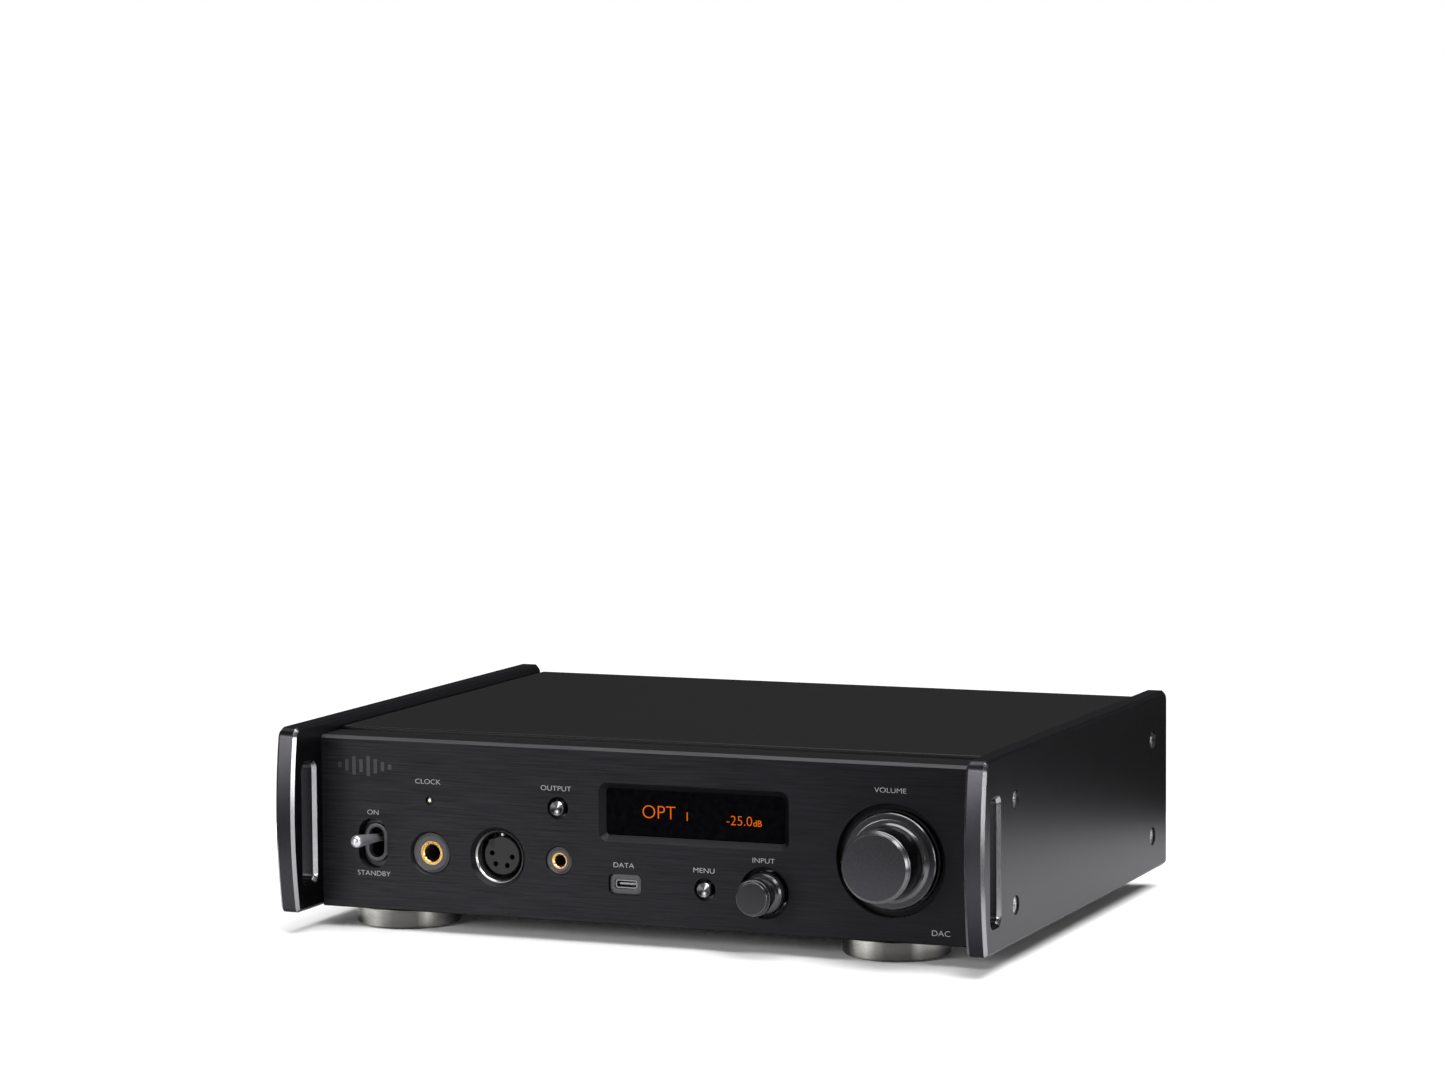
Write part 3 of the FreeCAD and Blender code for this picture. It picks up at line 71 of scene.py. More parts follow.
class Shader:
    """A small wrapper that adds nodes to one material and links them by name."""

    def __init__(self, name):
        self.material = bpy.data.materials.new(name)
        self.material.use_nodes = True
        self.tree = self.material.node_tree
        self.surface = self.tree.nodes["Principled BSDF"]
        coordinates = self.tree.nodes.new("ShaderNodeTexCoord")
        self.place = coordinates.outputs["Object"]
        self.facing = coordinates.outputs["Normal"]

    def set(self, **values):
        for name, value in values.items():
            self.surface.inputs[name.replace("_", " ")].default_value = value
        return self

    def link(self, source, target):
        self.tree.links.new(source, target)

    def stretched(self, scale):
        """Object coordinates multiplied by a vector, in metres."""
        mapping = self.tree.nodes.new("ShaderNodeMapping")
        mapping.inputs["Scale"].default_value = scale
        self.link(self.place, mapping.inputs["Vector"])
        return mapping.outputs["Vector"]

    def noise(self, scale, stretch=(1, 1, 1), detail=2.0, roughness=0.5):
        texture = self.tree.nodes.new("ShaderNodeTexNoise")
        texture.inputs["Scale"].default_value = scale
        texture.inputs["Detail"].default_value = detail
        texture.inputs["Roughness"].default_value = roughness
        self.link(self.stretched(stretch), texture.inputs["Vector"])
        return texture.outputs["Fac"]

    def ramp(self, value, low, high, low_colour, high_colour):
        """Maps a value between two limits to a colour between two colours."""
        ramp = self.tree.nodes.new("ShaderNodeValToRGB")
        ramp.color_ramp.elements[0].position = low
        ramp.color_ramp.elements[1].position = high
        ramp.color_ramp.elements[0].color = (*low_colour, 1)
        ramp.color_ramp.elements[1].color = (*high_colour, 1)
        self.link(value, ramp.inputs["Fac"])
        return ramp.outputs["Color"]

    def toned(self, grain, dark, light):
        """The colour that follows a grain, from a dark tone to a light one."""
        return self.ramp(grain, GRAIN_LOW, GRAIN_HIGH, dark, light)

    def grain_span(self, grain, out_low, out_high):
        """Maps a grain linearly to a value range."""
        return self.span(grain, GRAIN_LOW, GRAIN_HIGH, out_low, out_high)

    def span(self, value, low, high, out_low, out_high):
        """Maps a value range linearly to another, clamped."""
        node = self.tree.nodes.new("ShaderNodeMapRange")
        node.inputs["From Min"].default_value = low
        node.inputs["From Max"].default_value = high
        node.inputs["To Min"].default_value = out_low
        node.inputs["To Max"].default_value = out_high
        self.link(value, node.inputs["Value"])
        return node.outputs["Result"]

    def position(self, axis):
        """One coordinate of the surface in the object's own axes, in metres."""
        split = self.tree.nodes.new("ShaderNodeSeparateXYZ")
        self.link(self.place, split.inputs["Vector"])
        return split.outputs[axis]

    def normal(self, axis):
        """One component of the surface's direction in the object's own axes."""
        split = self.tree.nodes.new("ShaderNodeSeparateXYZ")
        self.link(self.facing, split.inputs["Vector"])
        return split.outputs[axis]

    def sideways(self):
        """How far the surface faces left or right, from 0 to 1."""
        size = self.tree.nodes.new("ShaderNodeMath")
        size.operation = "ABSOLUTE"
        self.link(self.normal("X"), size.inputs[0])
        return size.outputs["Value"]

    def product(self, first, second):
        node = self.tree.nodes.new("ShaderNodeMath")
        node.operation = "MULTIPLY"
        self.link(first, node.inputs[0])
        self.link(second, node.inputs[1])
        return node.outputs["Value"]

    def from_point(self, centre):
        """The three coordinates of the surface measured from a point, in metres."""
        mapping = self.tree.nodes.new("ShaderNodeMapping")
        mapping.inputs["Location"].default_value = tuple(-number for number in centre)
        self.link(self.place, mapping.inputs["Vector"])
        split = self.tree.nodes.new("ShaderNodeSeparateXYZ")
        self.link(mapping.outputs["Vector"], split.inputs["Vector"])
        return split

    def around(self, centre, axis):
        """The turn about a vertical (z) or front-to-rear (y) axis through a point, from 0 to 1."""
        split = self.from_point(centre)
        angle = self.tree.nodes.new("ShaderNodeMath")
        angle.operation = "ARCTAN2"
        self.link(split.outputs["Y" if axis == "z" else "Z"], angle.inputs[0])
        self.link(split.outputs["X"], angle.inputs[1])
        return self.span(angle.outputs["Value"], -math.pi, math.pi, 0.0, 1.0)

    def bands(self, value, stops, tint):
        """A ramp through (place, brightness) stops, in one tint."""
        ramp = self.tree.nodes.new("ShaderNodeValToRGB")
        steps = ramp.color_ramp.elements
        while len(steps) < len(stops):
            steps.new(0.5)
        for step, (place, tone) in zip(steps, stops):
            step.position = place
            step.color = (tint[0] * tone, tint[1] * tone, tint[2] * tone, 1)
        self.link(value, ramp.inputs["Fac"])
        return ramp.outputs["Color"]

    def mixed(self, first, second):
        """The product of two colours."""
        node = self.tree.nodes.new("ShaderNodeMixRGB")
        node.blend_type = "MULTIPLY"
        node.inputs["Fac"].default_value = 1.0
        self.link(first, node.inputs["Color1"])
        self.link(second, node.inputs["Color2"])
        return node.outputs["Color"]

    def blend(self, first, second, mask):
        """The first colour where the mask is 0 and the second where it is 1."""
        node = self.tree.nodes.new("ShaderNodeMixRGB")
        self.link(mask, node.inputs["Fac"])
        self.link(first, node.inputs["Color1"])
        self.link(second, node.inputs["Color2"])
        return node.outputs["Color"]

    def colour(self, output):
        self.link(output, self.surface.inputs["Base Color"])
        return self

    def roughness(self, output):
        self.link(output, self.surface.inputs["Roughness"])
        return self

    def bump(self, height, strength, distance):
        node = self.tree.nodes.new("ShaderNodeBump")
        node.inputs["Strength"].default_value = strength
        node.inputs["Distance"].default_value = distance
        self.link(height, node.inputs["Height"])
        self.link(node.outputs["Normal"], self.surface.inputs["Normal"])
        return self


def grained(
        name, dark, light, metallic, rough, grain,
        stretch=(1, 1, 1), bump=0.05, depth=GRAIN_DEPTH, spread=0.08):
    """A finish whose colour, roughness and surface all follow one grain."""
    shader = Shader(name)
    shader.set(Metallic=metallic)
    field = shader.noise(grain, stretch, detail=3.0)
    shader.colour(shader.toned(field, dark, light))
    shader.roughness(shader.grain_span(field, rough - spread, rough + spread))
    shader.bump(field, bump, depth)
    return shader


def paint(obj, material):
    obj.data.materials.clear()
    obj.data.materials.append(material)


# ---------------------------------------------------------------- mesh helpers

SHARP_ANGLE = math.radians(32)
TURNING_STEPS = 128
ON_AXIS = 1e-6
SAME_POINT = 1e-7
WELD_REACH = 1e-6
ROUND_SHARE = 0.45


def mark_sharp(mesh):
    """Smooth shading that stays crisp where two faces meet at an angle."""
    work = bmesh.new()
    work.from_mesh(mesh)
    bmesh.ops.recalc_face_normals(work, faces=work.faces)
    for face in work.faces:
        face.smooth = True
    for edge in work.edges:
        if len(edge.link_faces) == 2:
            edge.smooth = edge.calc_face_angle(0.0) < SHARP_ANGLE
    work.to_mesh(mesh)
    work.free()


def add_piece(name, mesh, material, body="case"):
    obj = bpy.data.objects.new(name, mesh)
    bpy.context.collection.objects.link(obj)
    paint(obj, material)
    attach(obj, body)
    return obj


def rounded(points, radius, steps=4):
    """Replaces each inner corner of an open outline by a short arc."""
    result = [points[0]]
    for before, corner, after in zip(points, points[1:], points[2:]):
        to_before = Vector(before) - Vector(corner)
        to_after = Vector(after) - Vector(corner)
        reach = min(radius, to_before.length * ROUND_SHARE, to_after.length * ROUND_SHARE)
        start = Vector(corner) + to_before.normalized() * reach
        end = Vector(corner) + to_after.normalized() * reach
        for step in range(steps + 1):
            share = step / steps
            near = start.lerp(Vector(corner), share)
            far = Vector(corner).lerp(end, share)
            result.append(tuple(near.lerp(far, share)))
    result.append(points[-1])
    return result


def turned(name, centre, outline, material, body="case", axis="y", fillet=0.15, closed=False):
    """A lathe piece: (radius, height) points in millimetres, turned about the axis through centre."""
    points = rounded(outline, fillet)
    if closed:
        points.append(points[0])
    work = bmesh.new()
    rings = []
    for radius, height in points:
        if radius < ON_AXIS:
            rings.append([work.verts.new(spin_place(centre, 0.0, height, 0.0, axis))])
            continue
        ring = []
        for step in range(TURNING_STEPS):
            angle = math.tau * step / TURNING_STEPS
            ring.append(work.verts.new(spin_place(centre, radius, height, angle, axis)))
        rings.append(ring)
    for low, high in zip(rings, rings[1:]):
        join_rings(work, low, high)
    bmesh.ops.remove_doubles(work, verts=work.verts, dist=SAME_POINT)
    mesh = bpy.data.meshes.new(name)
    work.to_mesh(mesh)
    work.free()
    mark_sharp(mesh)
    return add_piece(name, mesh, material, body)


def spin_place(centre, radius, height, angle, axis):
    """A point of a turned piece; radius and height are in millimetres."""
    side = radius * math.cos(angle) * MM
    rise = radius * math.sin(angle) * MM
    if axis == "y":
        return centre + Vector((side, height * MM, rise))
    return centre + Vector((side, rise, height * MM))


def join_rings(work, low, high):
    """Faces between two rings, either of which may be a single point on the axis."""
    if len(low) == 1 and len(high) == 1:
        return
    for step in range(TURNING_STEPS):
        after = (step + 1) % TURNING_STEPS
        corners = [
            low[step % len(low)], low[after % len(low)],
            high[after % len(high)], high[step % len(high)],
        ]
        work.faces.new(list(dict.fromkeys(corners)))


def smooth_faces(obj):
    """Joins the CAD mesh's loose triangles, so that curved faces can shade smoothly."""
    weld = obj.modifiers.new("weld", "WELD")
    weld.merge_threshold = WELD_REACH
    for face in obj.data.polygons:
        face.use_smooth = True


def keep_crisp(obj):
    """Smooth curved faces and flat plain ones, for a CAD node whose edges stay sharp."""
    smooth_faces(obj)
    split = obj.modifiers.new("split", "EDGE_SPLIT")
    split.split_angle = SHARP_ANGLE


def round_edges(obj, width):
    """Rounds a CAD node's hard edges with modifiers, inside its own shape."""
    smooth_faces(obj)
    bevel = obj.modifiers.new("bevel", "BEVEL")
    bevel.width = width * MM
    bevel.segments = 2
    bevel.limit_method = "ANGLE"
    bevel.angle_limit = SHARP_ANGLE
    normals = obj.modifiers.new("normals", "WEIGHTED_NORMAL")
    normals.keep_sharp = False


# ---------------------------------------------------------------- materials

# (place, brightness) stops of painted reflections and highlights round one turn, which starts at the left
# and goes by the front or the underside
FOOT_PAINTED_REFLECTIONS = (
    (0.0, 0.30), (0.06, 0.02), (0.13, 0.05), (0.17, 0.44), (0.21, 0.50), (0.24, 0.20), (0.27, 0.10),
    (0.345, 0.09), (0.375, 0.30), (0.43, 0.33), (0.49, 0.14), (0.54, 0.02), (0.62, 0.36), (0.72, 0.60),
    (0.80, 0.16), (0.90, 0.50), (1.0, 0.30),
)
# painted highlights of the buttons: a glint at the upper right and dim fans
BUTTON_PAINTED_GLINTS = (
    (0.0, 0.10), (0.10, 0.04), (0.20, 0.10), (0.27, 0.19), (0.34, 0.07), (0.50, 0.04), (0.59, 0.10),
    (0.64, 0.85), (0.67, 0.85), (0.71, 0.10), (0.80, 0.05), (0.90, 0.14), (1.0, 0.10),
)
# painted highlight of the XLR rim, bright along its lower left
RIM_PAINTED_HIGHLIGHTS = (
    (0.0, 0.30), (0.08, 0.48), (0.17, 0.52), (0.25, 0.30), (0.33, 0.08), (0.60, 0.03), (0.80, 0.04),
    (0.90, 0.10), (1.0, 0.30),
)


def make_panel_finish():
    """Brushed black with painted light: painted lighter on the left and darker to the right, painted
    highlights on bevels that face up and on the top rim, painted shade on the other bevels, and plain
    behind them.
    """
    shader = Shader("panel_brushed_black")
    shader.set(Metallic=0.35, IOR=1.5, Specular_IOR_Level=0.14)
    streaks = shader.noise(1.0, (40, 1500, 1500), detail=4.0, roughness=0.65)
    fine = shader.noise(1.0, (60, 9000, 9000), detail=2.0)
    # painted light: the face is painted lighter on the left and darker to the right
    painted_lit_left_face = shader.ramp(streaks, 0.28, 0.72, (0.0056, 0.0053, 0.0066), (0.0240, 0.0228, 0.0265))
    painted_shaded_right_face = shader.ramp(streaks, 0.28, 0.72, (0.0018, 0.0016, 0.0026), (0.0070, 0.0062, 0.0092))
    rightwards = shader.span(shader.position("X"), -0.13, 0.12, 0.0, 1.0)
    face = shader.blend(painted_lit_left_face, painted_shaded_right_face, rightwards)
    # painted light and shade: bevels that face up are painted lit, the other bevels are painted in shade
    painted_shade_bevels = shader.ramp(streaks, 0.2, 0.8, (0.0018, 0.0018, 0.0020), (0.0034, 0.0034, 0.0037))
    painted_lit_bevels = shader.ramp(streaks, 0.2, 0.8, (0.017, 0.017, 0.0185), (0.031, 0.031, 0.033))
    # painted highlight along the top rim of the panel
    painted_highlight_rim = shader.ramp(streaks, 0.2, 0.8, (0.036, 0.036, 0.038), (0.066, 0.066, 0.069))
    plain = shader.ramp(fine, 0.2, 0.8, (0.004, 0.004, 0.0045), (0.007, 0.007, 0.008))
    depth = shader.position("Y")
    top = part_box("front_panel")[1][2]
    near_top = shader.span(shader.position("Z"), top - 1.25 * MM, top - 1.15 * MM, 0.0, 1.0)
    off_face = shader.span(depth, FACE_Y + 0.05 * MM, FACE_Y + 0.12 * MM, 0.0, 1.0)
    past_bevels = shader.span(depth, FACE_Y + 2.4 * MM, FACE_Y + 2.6 * MM, 0.0, 1.0)
    past_rim = shader.span(depth, FACE_Y + 1.15 * MM, FACE_Y + 1.30 * MM, 0.0, 1.0)
    upwards = shader.span(shader.normal("Z"), 0.25, 0.60, 0.0, 1.0)
    tone = shader.blend(face, shader.blend(painted_shade_bevels, painted_lit_bevels, upwards), off_face)
    tone = shader.blend(tone, plain, past_bevels)
    top_highlight_tone = shader.blend(painted_highlight_rim, plain, past_rim)
    shader.colour(shader.blend(tone, top_highlight_tone, near_top))
    shader.roughness(shader.span(streaks, 0.25, 0.75, 0.34, 0.50))
    shader.bump(fine, 0.10, BRUSH_DEPTH)
    return shader.material


def make_plate_finish():
    """Blasted grey metal with painted light: painted lighter towards the top, a painted sheen at the top of
    the front noses, painted shade on the left nose, and a painted highlight on the slanting chamfered
    edges.
    """
    shader = Shader("plate_blasted_grey")
    shader.set(Metallic=0.92, Specular_Tint=(0.78, 0.78, 0.80, 1))
    grain = shader.noise(4200, detail=3.0)
    # painted light: the side faces are painted darker low down and lighter towards the top
    shaded_low_field = shader.toned(grain, (0.0090, 0.0086, 0.0101), (0.0142, 0.0136, 0.0156))
    lit_high_field = shader.toned(grain, (0.0200, 0.0190, 0.0218), (0.0300, 0.0288, 0.0326))
    # painted light: the front noses get a painted sheen towards the top, and the left plate's nose is
    # painted in shade
    shaded_low_nose = shader.toned(grain, (0.010, 0.0095, 0.0115), (0.016, 0.0152, 0.018))
    sheen_high_nose = shader.toned(grain, (0.066, 0.063, 0.071), (0.096, 0.093, 0.102))
    shaded_left_nose = shader.toned(grain, (0.023, 0.0221, 0.0250), (0.034, 0.0328, 0.0363))
    # painted highlight on the slanting chamfered edges
    cut_edge_highlight = shader.toned(grain, (0.19, 0.19, 0.20), (0.27, 0.27, 0.28))
    height = shader.span(shader.position("Z"), 0.012, 0.078, 0.0, 1.0)
    rightwards = shader.span(shader.position("X"), -0.1, 0.1, 0.0, 1.0)
    field = shader.blend(shaded_low_field, lit_high_field, height)
    nose = shader.blend(shaded_left_nose, shader.blend(shaded_low_nose, sheen_high_nose, height), rightwards)
    across = shader.sideways()
    off_nose = shader.span(across, 0.28, 0.42, 0.0, 1.0)
    off_field = shader.span(across, 0.93, 0.86, 0.0, 1.0)
    forward = shader.span(shader.normal("Y"), -0.25, -0.40, 0.0, 1.0)
    edges = shader.product(shader.product(off_nose, off_field), forward)
    ahead = shader.span(shader.normal("Y"), -0.80, -0.95, 0.0, 1.0)
    shader.colour(shader.blend(shader.blend(field, nose, ahead), cut_edge_highlight, edges))
    polish = shader.span(edges, 0.0, 1.0, 1.0, 0.7)
    shader.roughness(shader.product(shader.grain_span(grain, 0.27, 0.37), polish))
    shader.bump(grain, 0.10, GRAIN_DEPTH)
    return shader.material


def make_knob_finish(name, ends, slope_highlight_tone, side):
    """Blasted grey faces, turned sloping faces painted bright as a highlight, and sides painted in a tone
    of their own for their light and shade.
    """
    shader = Shader(name)
    shader.set(Metallic=0.75)
    grain = shader.noise(5200, detail=3.0)
    face = shader.toned(grain, tuple(0.6 * part for part in ends), ends)
    # painted highlight on the turned sloping faces, and the sides in a painted tone of their own for their
    # light and shade
    painted_slope_highlight = shader.toned(grain, tuple(0.75 * part for part in slope_highlight_tone), slope_highlight_tone)
    painted_side_tone = shader.toned(grain, tuple(0.75 * part for part in side), side)
    forward = shader.normal("Y")
    sloping = shader.span(forward, -0.985, -0.93, 0.0, 1.0)
    sideways = shader.span(forward, -0.30, -0.12, 0.0, 1.0)
    shader.colour(shader.blend(shader.blend(face, painted_slope_highlight, sloping), painted_side_tone, sideways))
    polish = shader.span(sloping, 0.0, 1.0, 1.0, 0.65)
    shader.roughness(shader.product(shader.grain_span(grain, 0.26, 0.36), polish))
    shader.bump(grain, 0.10, GRAIN_DEPTH)
    return shader.material


def make_finishes():
    """Every material of the object that is shared between pieces, by name."""
    finishes = {}

    finishes["panel"] = make_panel_finish()
    finishes["plate"] = make_plate_finish()
    cover = grained(
        "cover_satin_black", (0.004, 0.004, 0.0043), (0.0075, 0.0075, 0.0079), 0.0, 0.38, 3800, bump=0.10)
    cover.set(Specular_IOR_Level=0.13)
    finishes["cover"] = cover.material
    # each knob: end tone, painted highlight tone of the sloping faces, painted side tone
    finishes["volume_knob"] = make_knob_finish(
        "volume_knob_grey", (0.038, 0.036, 0.0415), (0.115, 0.115, 0.120), (0.010, 0.0095, 0.011))
    finishes["input_knob"] = make_knob_finish(
        "input_knob_grey", (0.025, 0.0236, 0.0275), (0.070, 0.069, 0.073), (0.040, 0.039, 0.043))
    ring = grained(
        "ring_black", (0.002, 0.002, 0.0022), (0.004, 0.004, 0.0044), 0.0, 0.45, 5200, bump=0.08)
    ring.set(Specular_IOR_Level=0.12)
    finishes["dark_ring"] = ring.material
    finishes["port"] = grained(
        "port_dull_nickel", (0.16, 0.16, 0.17), (0.26, 0.26, 0.27), 0.85, 0.24, 3200, bump=0.05).material
    finishes["bright"] = grained(
        "satin_nickel", (0.40, 0.40, 0.44), (0.54, 0.54, 0.58), 0.75, 0.32, 3200, bump=0.05).material
    finishes["gold"] = grained(
        "gold_plate", (0.56, 0.33, 0.10), (0.74, 0.47, 0.17), 1.0, 0.26, 2500, bump=0.04).material
    finishes["socket"] = grained(
        "socket_grey", (0.029, 0.028, 0.032), (0.048, 0.047, 0.052), 0.1, 0.42, 5200, bump=0.10).material
    insert = grained(
        "insert_dark_grey", (0.005, 0.005, 0.0056), (0.009, 0.009, 0.010), 0.0, 0.45, 5200, bump=0.10)
    insert.set(Specular_IOR_Level=0.3)
    finishes["insert"] = insert.material
    finishes["black_plastic"] = grained(
        "moulded_black", (0.008, 0.008, 0.008), (0.016, 0.016, 0.016), 0.0, 0.5, 4200, bump=0.10).material
    glass = grained(
        "display_glass", (0.0012, 0.0012, 0.0018), (0.0028, 0.0028, 0.0036), 0.0, 0.10, 400,
        bump=0.0, spread=0.02)
    glass.set(Specular_IOR_Level=0.0)
    finishes["glass"] = glass.material
    finishes["steel"] = grained(
        "zinc_steel", (0.42, 0.42, 0.44), (0.58, 0.58, 0.60), 1.0, 0.32, 1800, bump=0.05).material
    finishes["dark_steel"] = grained(
        "dark_plated_screw", (0.42, 0.42, 0.43), (0.56, 0.56, 0.57), 1.0, 0.30, 3000, bump=0.05).material
    finishes["sheet"] = grained(
        "chassis_coated", (0.022, 0.022, 0.023), (0.038, 0.038, 0.040), 0.2, 0.5, 3500, bump=0.10).material
    finishes["rubber"] = grained(
        "soft_rubber", (0.012, 0.012, 0.012), (0.022, 0.022, 0.022), 0.0, 0.75, 3500, bump=0.2).material
    finishes["board"] = grained(
        "board_green", (0.010, 0.055, 0.028), (0.018, 0.085, 0.042), 0.0, 0.35, 900, bump=0.05).material
    finishes["winding"] = grained(
        "winding_tape", (0.22, 0.11, 0.03), (0.34, 0.18, 0.06), 0.2, 0.4, 1.0,
        stretch=(900, 900, 60), bump=0.3, depth=0.0001).material
    finishes["capacitor"] = grained(
        "capacitor_sleeve", (0.012, 0.018, 0.045), (0.020, 0.028, 0.065), 0.0, 0.3, 600, bump=0.03).material
    # painted shade: a black that fills a hollow where there is only shadow
    finishes["void"] = grained(
        "slot_shadow_black", (0.0015, 0.0015, 0.0015), (0.003, 0.003, 0.003), 0.0, 0.8, 3000,
        bump=0.1).material
    finishes["print"] = grained(
        "printed_grey", (0.27, 0.27, 0.285), (0.35, 0.35, 0.365), 0.0, 0.6, 2500, bump=0.0).material
    finishes["emblem"] = grained(
        "emblem_dark_metal", (0.034, 0.033, 0.037), (0.054, 0.052, 0.058), 0.6, 0.35, 3000,
        bump=0.05).material

    pixels = Shader("display_orange")
    dots = pixels.noise(3000, detail=1.0)
    pixels.colour(pixels.ramp(dots, 0.2, 0.8, (0.05, 0.010, 0.0002), (0.08, 0.016, 0.0004)))
    pixels.set(Emission_Color=(1.0, 0.165, 0.003, 1), Emission_Strength=0.78)
    pixels.set(Roughness=0.6, Specular_IOR_Level=0.0)
    finishes["pixels"] = pixels.material
    return finishes


def make_foot_finish(centre):
    """Turned stainless steel with painted reflections in upright bands round the foot."""
    shader = Shader("foot_turned_steel")
    shader.set(Metallic=0.85)
    turn = shader.around(centre, "z")
    # painted reflections in upright bands round the foot
    tone = shader.bands(turn, FOOT_PAINTED_REFLECTIONS, (1.0, 0.98, 0.92))
    lines = shader.noise(1.0, (120, 120, 9000), detail=3.0)
    grey = shader.toned(lines, (0.86, 0.86, 0.86), (1.0, 1.0, 1.0))
    shader.colour(shader.mixed(tone, grey))
    shader.roughness(shader.grain_span(lines, 0.24, 0.34))
    shader.bump(lines, 0.08, BRUSH_DEPTH)
    return shader.material


def make_button_finish(centre):
    """A turned metal end with fine grooves and painted highlights in two opposite fans."""
    shader = Shader("button_turned_metal")
    shader.set(Metallic=0.9)
    turn = shader.around(centre, "y")
    tone = shader.bands(turn, BUTTON_PAINTED_GLINTS, (1.0, 1.0, 1.04))
    grooves = shader.noise(9000, detail=2.0)
    grey = shader.toned(grooves, (0.85, 0.85, 0.85), (1.0, 1.0, 1.0))
    shader.colour(shader.mixed(tone, grey))
    shader.roughness(shader.grain_span(grooves, 0.24, 0.36))
    shader.bump(grooves, 0.05, BRUSH_DEPTH)
    return shader.material


def make_rim_finish(centre):
    """A plated ring with a painted highlight along its lower left."""
    shader = Shader("xlr_plated_rim")
    shader.set(Metallic=0.9)
    turn = shader.around(centre, "y")
    tone = shader.bands(turn, RIM_PAINTED_HIGHLIGHTS, (1.0, 1.0, 1.0))
    grain = shader.noise(4000, detail=2.0)
    grey = shader.toned(grain, (0.85, 0.85, 0.85), (1.0, 1.0, 1.0))
    shader.colour(shader.mixed(tone, grey))
    shader.roughness(shader.grain_span(grain, 0.20, 0.32))
    shader.bump(grain, 0.04, BRUSH_DEPTH)
    return shader.material


def make_lamp_finish(centre):
    """A small lens: warm and lit in the middle, dark at its rim."""
    shader = Shader("lamp_warm_white")
    split = shader.from_point(centre)
    level = shader.tree.nodes.new("ShaderNodeCombineXYZ")
    shader.link(split.outputs["X"], level.inputs["X"])
    shader.link(split.outputs["Z"], level.inputs["Z"])
    length = shader.tree.nodes.new("ShaderNodeVectorMath")
    length.operation = "LENGTH"
    shader.link(level.outputs["Vector"], length.inputs[0])
    outwards = shader.span(length.outputs["Value"], 0.0002, 0.0007, 0.0, 1.0)
    glow = shader.ramp(outwards, 0.0, 1.0, (1.0, 0.86, 0.62), (0.010, 0.009, 0.008))
    shader.colour(glow)
    shader.link(glow, shader.surface.inputs["Emission Color"])
    shader.set(Emission_Strength=0.7, Roughness=0.3)
    return shader.material


finish = make_finishes()

NODE_FINISH = {
    "panel": ["front_panel"],
    "plate": ["left_side_plate", "right_side_plate"],
    "cover": ["top_cover", "rear_panel"],
    "sheet": ["bottom_chassis"],
    "steel": [
        "inner_front_chassis", "volume_encoder", "input_encoder", "rear_panel_screws",
        "foot_screws", "board_screws", "transformer_bolts", "volume_shaft", "input_shaft", "usb_b_input",
        "board_standoffs",
    ],
    "dark_steel": ["side_plate_screws"],
    "volume_knob": ["volume_knob"],
    "input_knob": ["input_knob"],
    "port": ["usb_c_socket"],
    "dark_ring": ["volume_ring", "input_ring", "encoder_nuts", "heatsink"],
    "bright": ["power_toggle_lever"],
    "gold": ["jack_ring_63", "jack_ring_44", "rca_outputs", "coaxial_input", "clock_input"],
    "socket": ["headphone_jack_63", "headphone_jack_44", "toggle_bezel", "usb_c_bezel"],
    "insert": ["headphone_xlr_insert"],
    "black_plastic": [
        "xlr_output_left", "xlr_output_right", "optical_input", "ac_inlet", "toggle_switch_body",
        "button_switches", "display_module",
    ],
    "glass": ["display_window"],
    "rubber": ["foot_pads", "top_cover_pads"],
    "board": ["front_control_board", "main_dac_board", "power_supply_board", "headphone_amp_board"],
    "winding": ["transformer_left", "transformer_right"],
    "capacitor": ["power_capacitors"],
}

for finish_name, names in NODE_FINISH.items():
    for node_name in names:
        paint(nodes[node_name], finish[finish_name])
for node_name in ("foot_front_left", "foot_front_right", "foot_rear"):
    finish[node_name] = make_foot_finish(middle(node_name))
    paint(nodes[node_name], finish[node_name])
for node_name in ("output_button", "menu_button"):
    finish[node_name] = make_button_finish(middle(node_name))
    paint(nodes[node_name], finish[node_name])
paint(nodes["headphone_xlr_shell"], make_rim_finish(middle("headphone_xlr_shell")))
paint(nodes["clock_led"], make_lamp_finish(middle("clock_led")))

EDGE_ROUNDING = {
    "left_side_plate": 0.35, "right_side_plate": 0.35, "top_cover": 0.2, "toggle_bezel": 0.25,
    "usb_c_bezel": 0.15, "side_plate_screws": 0.25,
}
for node_name, node in nodes.items():
    if node_name in EDGE_ROUNDING:
        round_edges(node, EDGE_ROUNDING[node_name])
    else:
        keep_crisp(node)

# ---------------------------------------------------------------- knobs, buttons, lever and feet


def at_face(node):
    """A node's centre across and up, at the front panel's face."""
    centre = middle(node)
    return Vector((centre.x, FACE_Y, centre.z))


def reach_of(node):
    """How far a node stands proud of the front panel, in millimetres."""
    return (FACE_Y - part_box(node)[0][1]) / MM


def make_volume_knob():
    """A wide knob with a chamfered end, a groove behind it and a flat flange at the panel."""
    proud = reach_of("volume_knob")
    radius = size_of("volume_knob").x / 2 / MM
    grip = radius - 4.6
    outline = [
        (0.0, -proud), (grip - 1.25, -proud), (grip - 0.25, 0.9 - proud), (grip - 0.25, 1.1 - proud),
        (grip - 0.7, 1.2 - proud), (grip - 0.7, 1.7 - proud), (grip - 0.35, 1.8 - proud),
        (grip, 2.15 - proud), (grip, -3.1), (grip + 0.25, -2.4), (grip + 0.9, -1.65), (grip + 1.9, -1.15),
        (grip + 2.2, -1.05), (radius - 0.4, -1.05), (radius, -0.65), (radius, 2.6), (11.0, 2.6),
        (11.0, -6.0), (0.0, -6.0),
    ]
    piece = turned(
        "volume_knob_turned", at_face("volume_knob"), outline, finish["volume_knob"],
        "volume_control", fillet=0.06)
    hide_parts("volume_knob")


